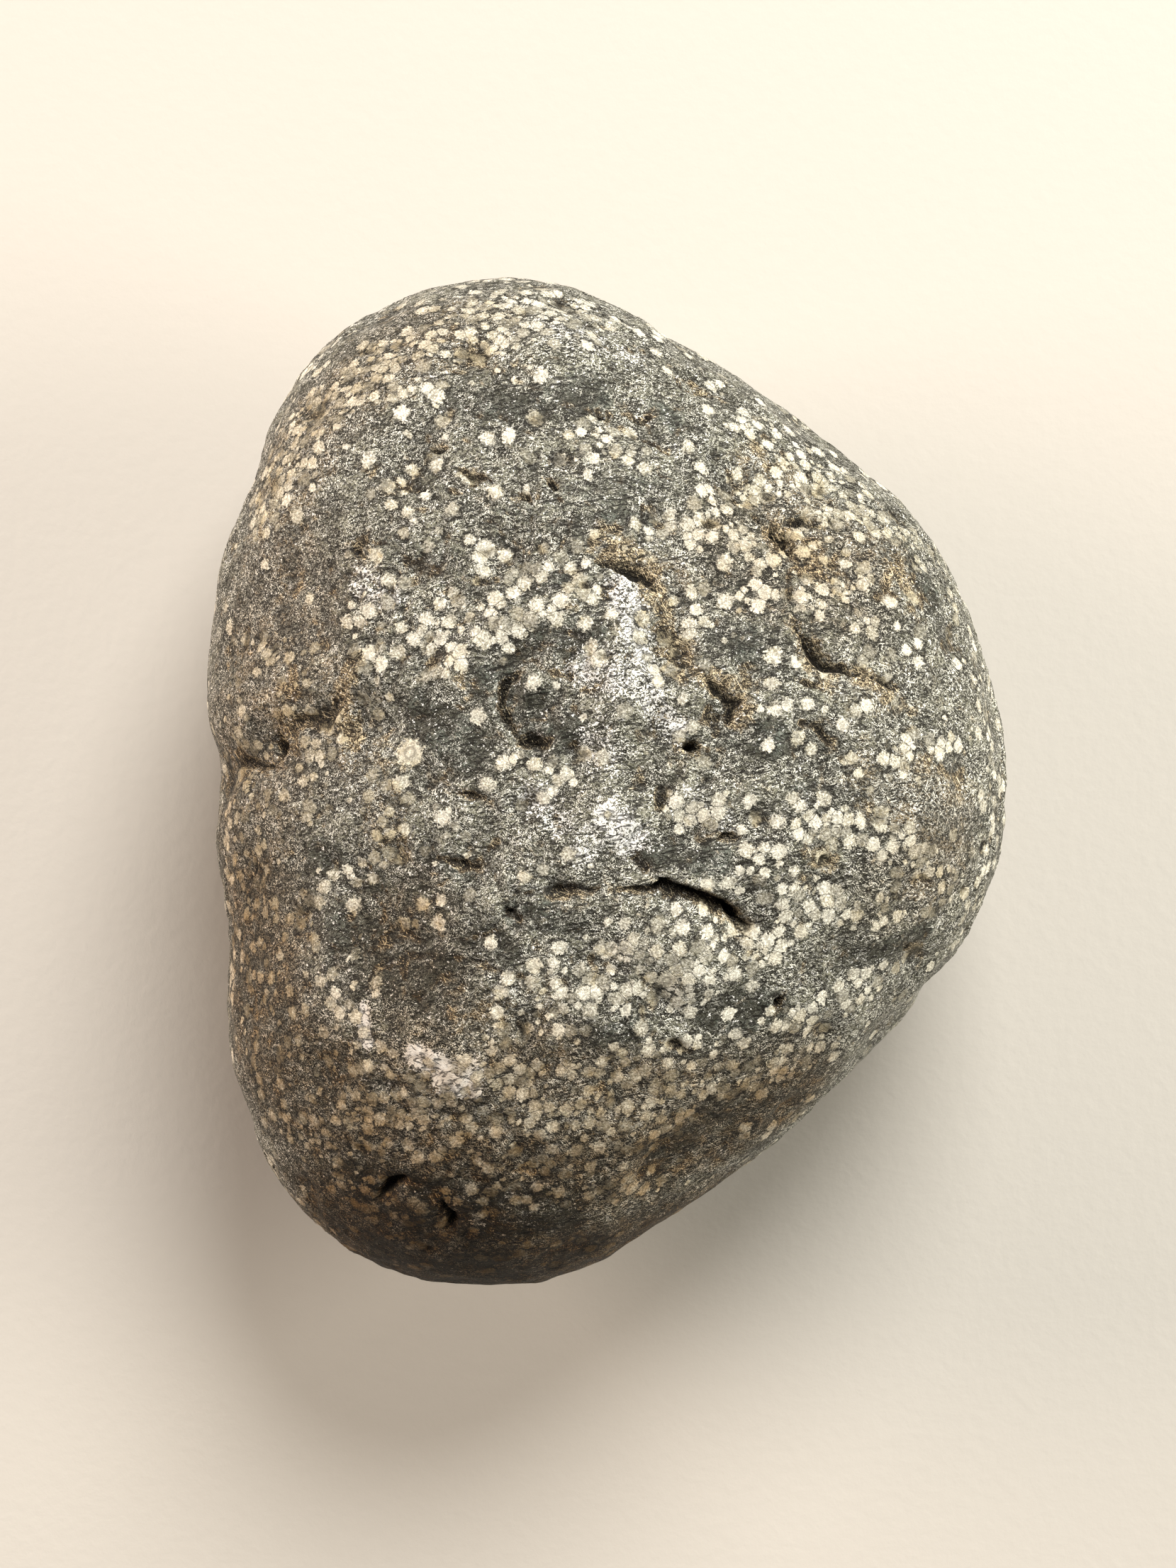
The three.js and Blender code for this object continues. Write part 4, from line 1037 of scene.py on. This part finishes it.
# dark glass, cloudy in patches, khaki where it is stained all through, darker in the hollows as painted
# shade
def glassCoat(read, paint):
    dull = read["cloud"].ease(0.40, 0.66) * 0.45 + read["grain"].ease(0.36, 0.74) * 0.45
    # painted shade: the glass darker in the hollows
    dark = read["hollow"] * 0.5 + read["clean"] * 0.2 + read["brown"] * 0.35
    pale = (dull + read["edge"] * 0.3 - dark).ease(0.0, 1.0)
    khaki = (read["khaki"] * 0.7 + read["stain"] - 0.55).ease(0.0, 0.5)
    body = khaki.blend(read["clean"].blend(paint["glassPale"], paint["glassBlue"]), paint["glassKhaki"])
    return (read["ochreShare"] * 0.75).blend(pale.blend(paint["glass"], body), paint["ochre"])


# pale bruise marks, partly painted glints, thicker in some patches than in others, brighter in clusters,
# with long fibres in the ochre stains
def bruiseAndGlintMask(read, paint):
    place = read["place"]
    marks = strongestMark(place, paint["straightMarks"])
    for size, half, strength, offset in paint["curvedMarks"]:
        marks = marks.most(curvedMark(place, size, half, offset) * strength)
    size, least, strength = paint["specks"]
    marks = marks.most(place.noise(size, 0.0, 0.0, 83.0).ease(least, least + 0.05) * strength)
    patch = read["patch"].ease(0.38, 0.58)
    glint = read["glint"].ease(0.38, 0.60)
    hidden = read["hollow"].ease(0.1, 0.9) * 0.4 + read["clean"] * 0.7 + read["brown"] * 0.25
    shown = patch * 0.6 + 0.5 + read["edge"] * 0.35 - hidden
    # painted glints: the marks brighter in clusters where the glint noise is high
    marks = marks * shown.most(0.1) * (glint * 0.8 + 0.35)
    fibres = strongestMark(place, paint["fibres"]) * (read["ochreShare"] + read["khaki"] * 0.2)
    return marks.most(fibres * 0.95).least(1.0)


# white frosting, patchy, on worn high places
def frostMask(read, paint):
    amount = read["frost"] * 0.30 + read["cloud"] * 0.15 + read["blotch"] * 0.6
    amount = amount + read["edge"] * 0.05 + read["sugar"] * 1.5
    return (amount - paint["frostFrom"]).ease(0.0, 0.12)


# crystals: the two strongest families give the edge and the crack between neighbours; in the hollows they
# are dimmer and fainter as painted shade
def crystalCoat(read, paint):
    shade, kind, faded, fleck = (read[name] for name in ("crystalShade", "crystalKind", "faded", "fleck"))
    a, b, c, d = (read[name] for name in crystalFamilies)
    first = a.most(b).most(c.most(d))
    second = a.least(b).most(c.least(d)).most(a.most(b).least(c.most(d)))
    ragged = (read["wobble"] - 0.5) * paint["crystalWobble"]
    feather = first + ragged + (fleck - 0.5) * 0.9
    mask = feather.ease(-0.12, 0.20)
    crack = (1 - (first - second).ease(0.0, 0.12)) * (second + ragged * 0.5).ease(-0.2, 0.1)
    fleck = fleck.ease(0.36, 0.62)
    bright = fleck * 0.65 + first.ease(0.0, 0.7) * 0.15 - shade * 0.6 - faded * 0.4
    # painted shade: crystals darker in the hollows
    bright = bright - read["hollow"] * 0.5 + 0.5
    vein = (1 - abs(ragged).ease(0.02, 0.11)) * 0.45
    colour = bright.ease(0.0, 1.0).blend(paint["crystalDull"], paint["crystal"])
    tan = read["ochreShare"] * 0.5 + kind.ease(0.70, 0.9) * 0.25 + faded * 0.08 + read["khaki"] * 0.15
    colour = tan.least(1.0).blend(colour, paint["crystalTan"])
    ring = (1 - abs(first + ragged * 0.3 - 0.62).ease(0.04, 0.16)) * kind.ease(0.94, 0.96) * 0.6
    colour = (crack * 0.7).most(ring).most(vein).blend(colour, paint["crack"])
    worn = read["tarnish"].ease(0.28, 0.5) * 0.25 + 0.82 - faded * 0.2
    # painted shade: crystals fainter in the hollows, so the darkened glass shows
    worn = worn - shade.ease(0.55, 1.0) * 0.5 - read["hollow"].ease(0.2, 0.9) * 0.4
    # dark gaps at the crystals' foot, in patches: grime and painted shade
    gap = read["gapDirtAndShade"].ease(0.42, 0.60) * feather.ease(-0.75, -0.15)
    return mask * worn.most(0.0), colour, crack, gap


# an empty material
def startMaterial(name):
    material = bpy.data.materials.new(name)
    material.use_nodes = True
    material.node_tree.nodes.clear()
    return material


# one shader from its sockets and its bump's sockets, put on the piece
def finishMaterial(piece, material, sockets, bumpSockets):
    start = Signal(material.node_tree)
    bump = start.node("ShaderNodeBump", None, bumpSockets)
    shader = start.node("ShaderNodeBsdfPrincipled", None, {**sockets, "Normal": bump})
    start.node("ShaderNodeOutputMaterial", None, {"Surface": shader})
    piece.data.materials.append(material)


# the coats from the glass outwards: marks (partly painted glints), frosting, gaps and crystals, nicks, brown
# film (at the lower end also painted shade), grime and painted shade in the hollows and crevices
def makeStone(piece):
    paint = stonePaint
    material = startMaterial("snowflakeObsidian")
    read = readStone(Signal(material.node_tree), paint)
    marks = bruiseAndGlintMask(read, paint)
    frosting = frostMask(read, paint)
    crystal, crystalColour, crack, gap = crystalCoat(read, paint)
    # nicks: small dents, their dark painted shade
    nicks = strongestMark(read["place"], paint["nicks"]) * (1 - crystal)
    cracks = strongestMark(read["place"], paint["cracks"]) * (1 - crystal * 0.8)

    # colour of the pale marks, partly painted glints
    markColour = read["ochreShare"].blend(paint["bruiseAndGlint"], paint["ochreBruiseAndGlint"])
    surface = (cracks * 0.9).blend(glassCoat(read, paint), paint["pit"])
    surface = marks.blend(surface, markColour)
    surface = (frosting * 0.95).blend(surface, paint["frost"])
    # grime and painted shade in the gaps around the crystals
    surface = (gap * paint["gapShade"]).blend(surface, paint["pit"])
    surface = crystal.blend(surface, crystalColour)
    # painted shade in the nicks
    surface = (nicks * 0.8).blend(surface, paint["pit"])
    # brown stain with painted shade: the film darkens the left and most of all the lower end, which faces
    # away from the key lamp
    film = read["brown"].least(1.0) * (read["stain"].ease(0.3, 0.6) * 0.5 + 0.5)
    surface = surface.tinted(paint["brownFilmAndShade"], film)
    surface = surface.tinted(paint["darkFilmAndShade"], (read["brown"] - 0.6).ease(0.0, 0.9) * 0.95)
    # grime and painted shade: the hollows darkened towards near black, less where marks are
    surface = (read["hollow"].ease(0.25, 1.0) * (0.9 - marks * 0.5)).blend(surface, paint["pit"])
    # grime and painted shade: the crevices drawn near black
    surface = (read["opening"] * paint["openingShade"]).blend(surface, paint["pit"])

    rough = paint["rough"] + crystal * paint["crystalRough"] + frosting * paint["frostRough"]
    rough = rough - read["scar"] * paint["scarGloss"]
    height = marks * paint["markHeight"] + read["grain"] * paint["grainHeight"]
    height = height + read["cloud"] * paint["cloudHeight"] + crystal * paint["crystalHeight"]
    height = height - crack * crystal * paint["crackDepth"]
    height = height - nicks * paint["nickDepth"] - cracks * paint["crackHollow"]
    height = height - read["opening"] * paint["openingDepth"]
    sockets = {"Base Color": surface, "Roughness": rough, "IOR": paint["refraction"],
               "Specular IOR Level": paint["shine"]}
    finishMaterial(piece, material, sockets, {"Height": height, "Distance": mm, "Strength": 1.0})


makeStone(pebble)
print("stone painted")

studioPlan = {
    "floorSize": 1.6,  # m
    "floorSteps": 24,
    "floorColour": tone(178, 175, 169),
    "floorSpeck": tone(170, 167, 161),
    "floorRough": 0.85,
    "floorGrain": 0.05,  # mm
    "ambient": 0.06,
    # where from in m, width, watts, colour
    "lamps": {
        "key": ((0.12, 0.38, 0.44), 0.30, 5.65, (1.0, 0.965, 0.905)),
        "left": ((-0.46, 0.14, 0.17), 0.30, 4.1, (1.0, 0.82, 0.69)),
        "right": ((0.46, 0.04, 0.17), 0.30, 3.5, (1.0, 0.93, 0.80)),
    },
}


# a flat square grid with faint specks
def makeFloor(plan):
    steps = plan["floorSteps"]
    x, y = np.meshgrid(np.linspace(-0.5, 0.5, steps + 1), np.linspace(-0.5, 0.5, steps + 1), indexing="ij")
    points = np.stack([x, y, np.zeros_like(x)], axis=-1).reshape(-1, 3) * plan["floorSize"]
    quads = gridFaces(np.arange((steps + 1) ** 2).reshape(steps + 1, steps + 1))
    uvs = (points[quads.ravel()][:, :2] / plan["floorSize"]) + 0.5
    floor = addMesh("floor", points, quads, uvs)
    material = startMaterial("paleFloor")
    place = Signal(material.node_tree).place()
    speck = place.noise(1.5, 3.0).ease(0.3, 0.7) * 0.06
    colour = speck.blend(plan["floorColour"], plan["floorSpeck"])
    grain = {"Height": place.noise(0.8, 3.0), "Distance": plan["floorGrain"] * mm, "Strength": 0.5}
    finishMaterial(floor, material, {"Base Color": colour, "Roughness": plan["floorRough"]}, grain)


# round soft lamps turned to the middle of the floor, and an even faint light from all sides
def makeLamps(plan):
    for name, (place, width, watts, colour) in plan["lamps"].items():
        data = bpy.data.lights.new(name, "AREA")
        data.shape = "DISK"
        data.size = width
        data.energy = watts
        data.color = colour
        lamp = bpy.data.objects.new(name, data)
        lamp.location = place
        away = -lamp.location
        lamp.rotation_euler = away.to_track_quat("-Z", "Y").to_euler()
        bpy.context.scene.collection.objects.link(lamp)
    world = bpy.data.worlds.new("studio")
    world.use_nodes = True
    background = world.node_tree.nodes["Background"]
    background.inputs["Color"].default_value = (1.0, 1.0, 1.0, 1.0)
    background.inputs["Strength"].default_value = plan["ambient"]
    bpy.context.scene.world = world
    bpy.context.scene.view_settings.view_transform = "Standard"


makeFloor(studioPlan)
makeLamps(studioPlan)
print("floor and light made")
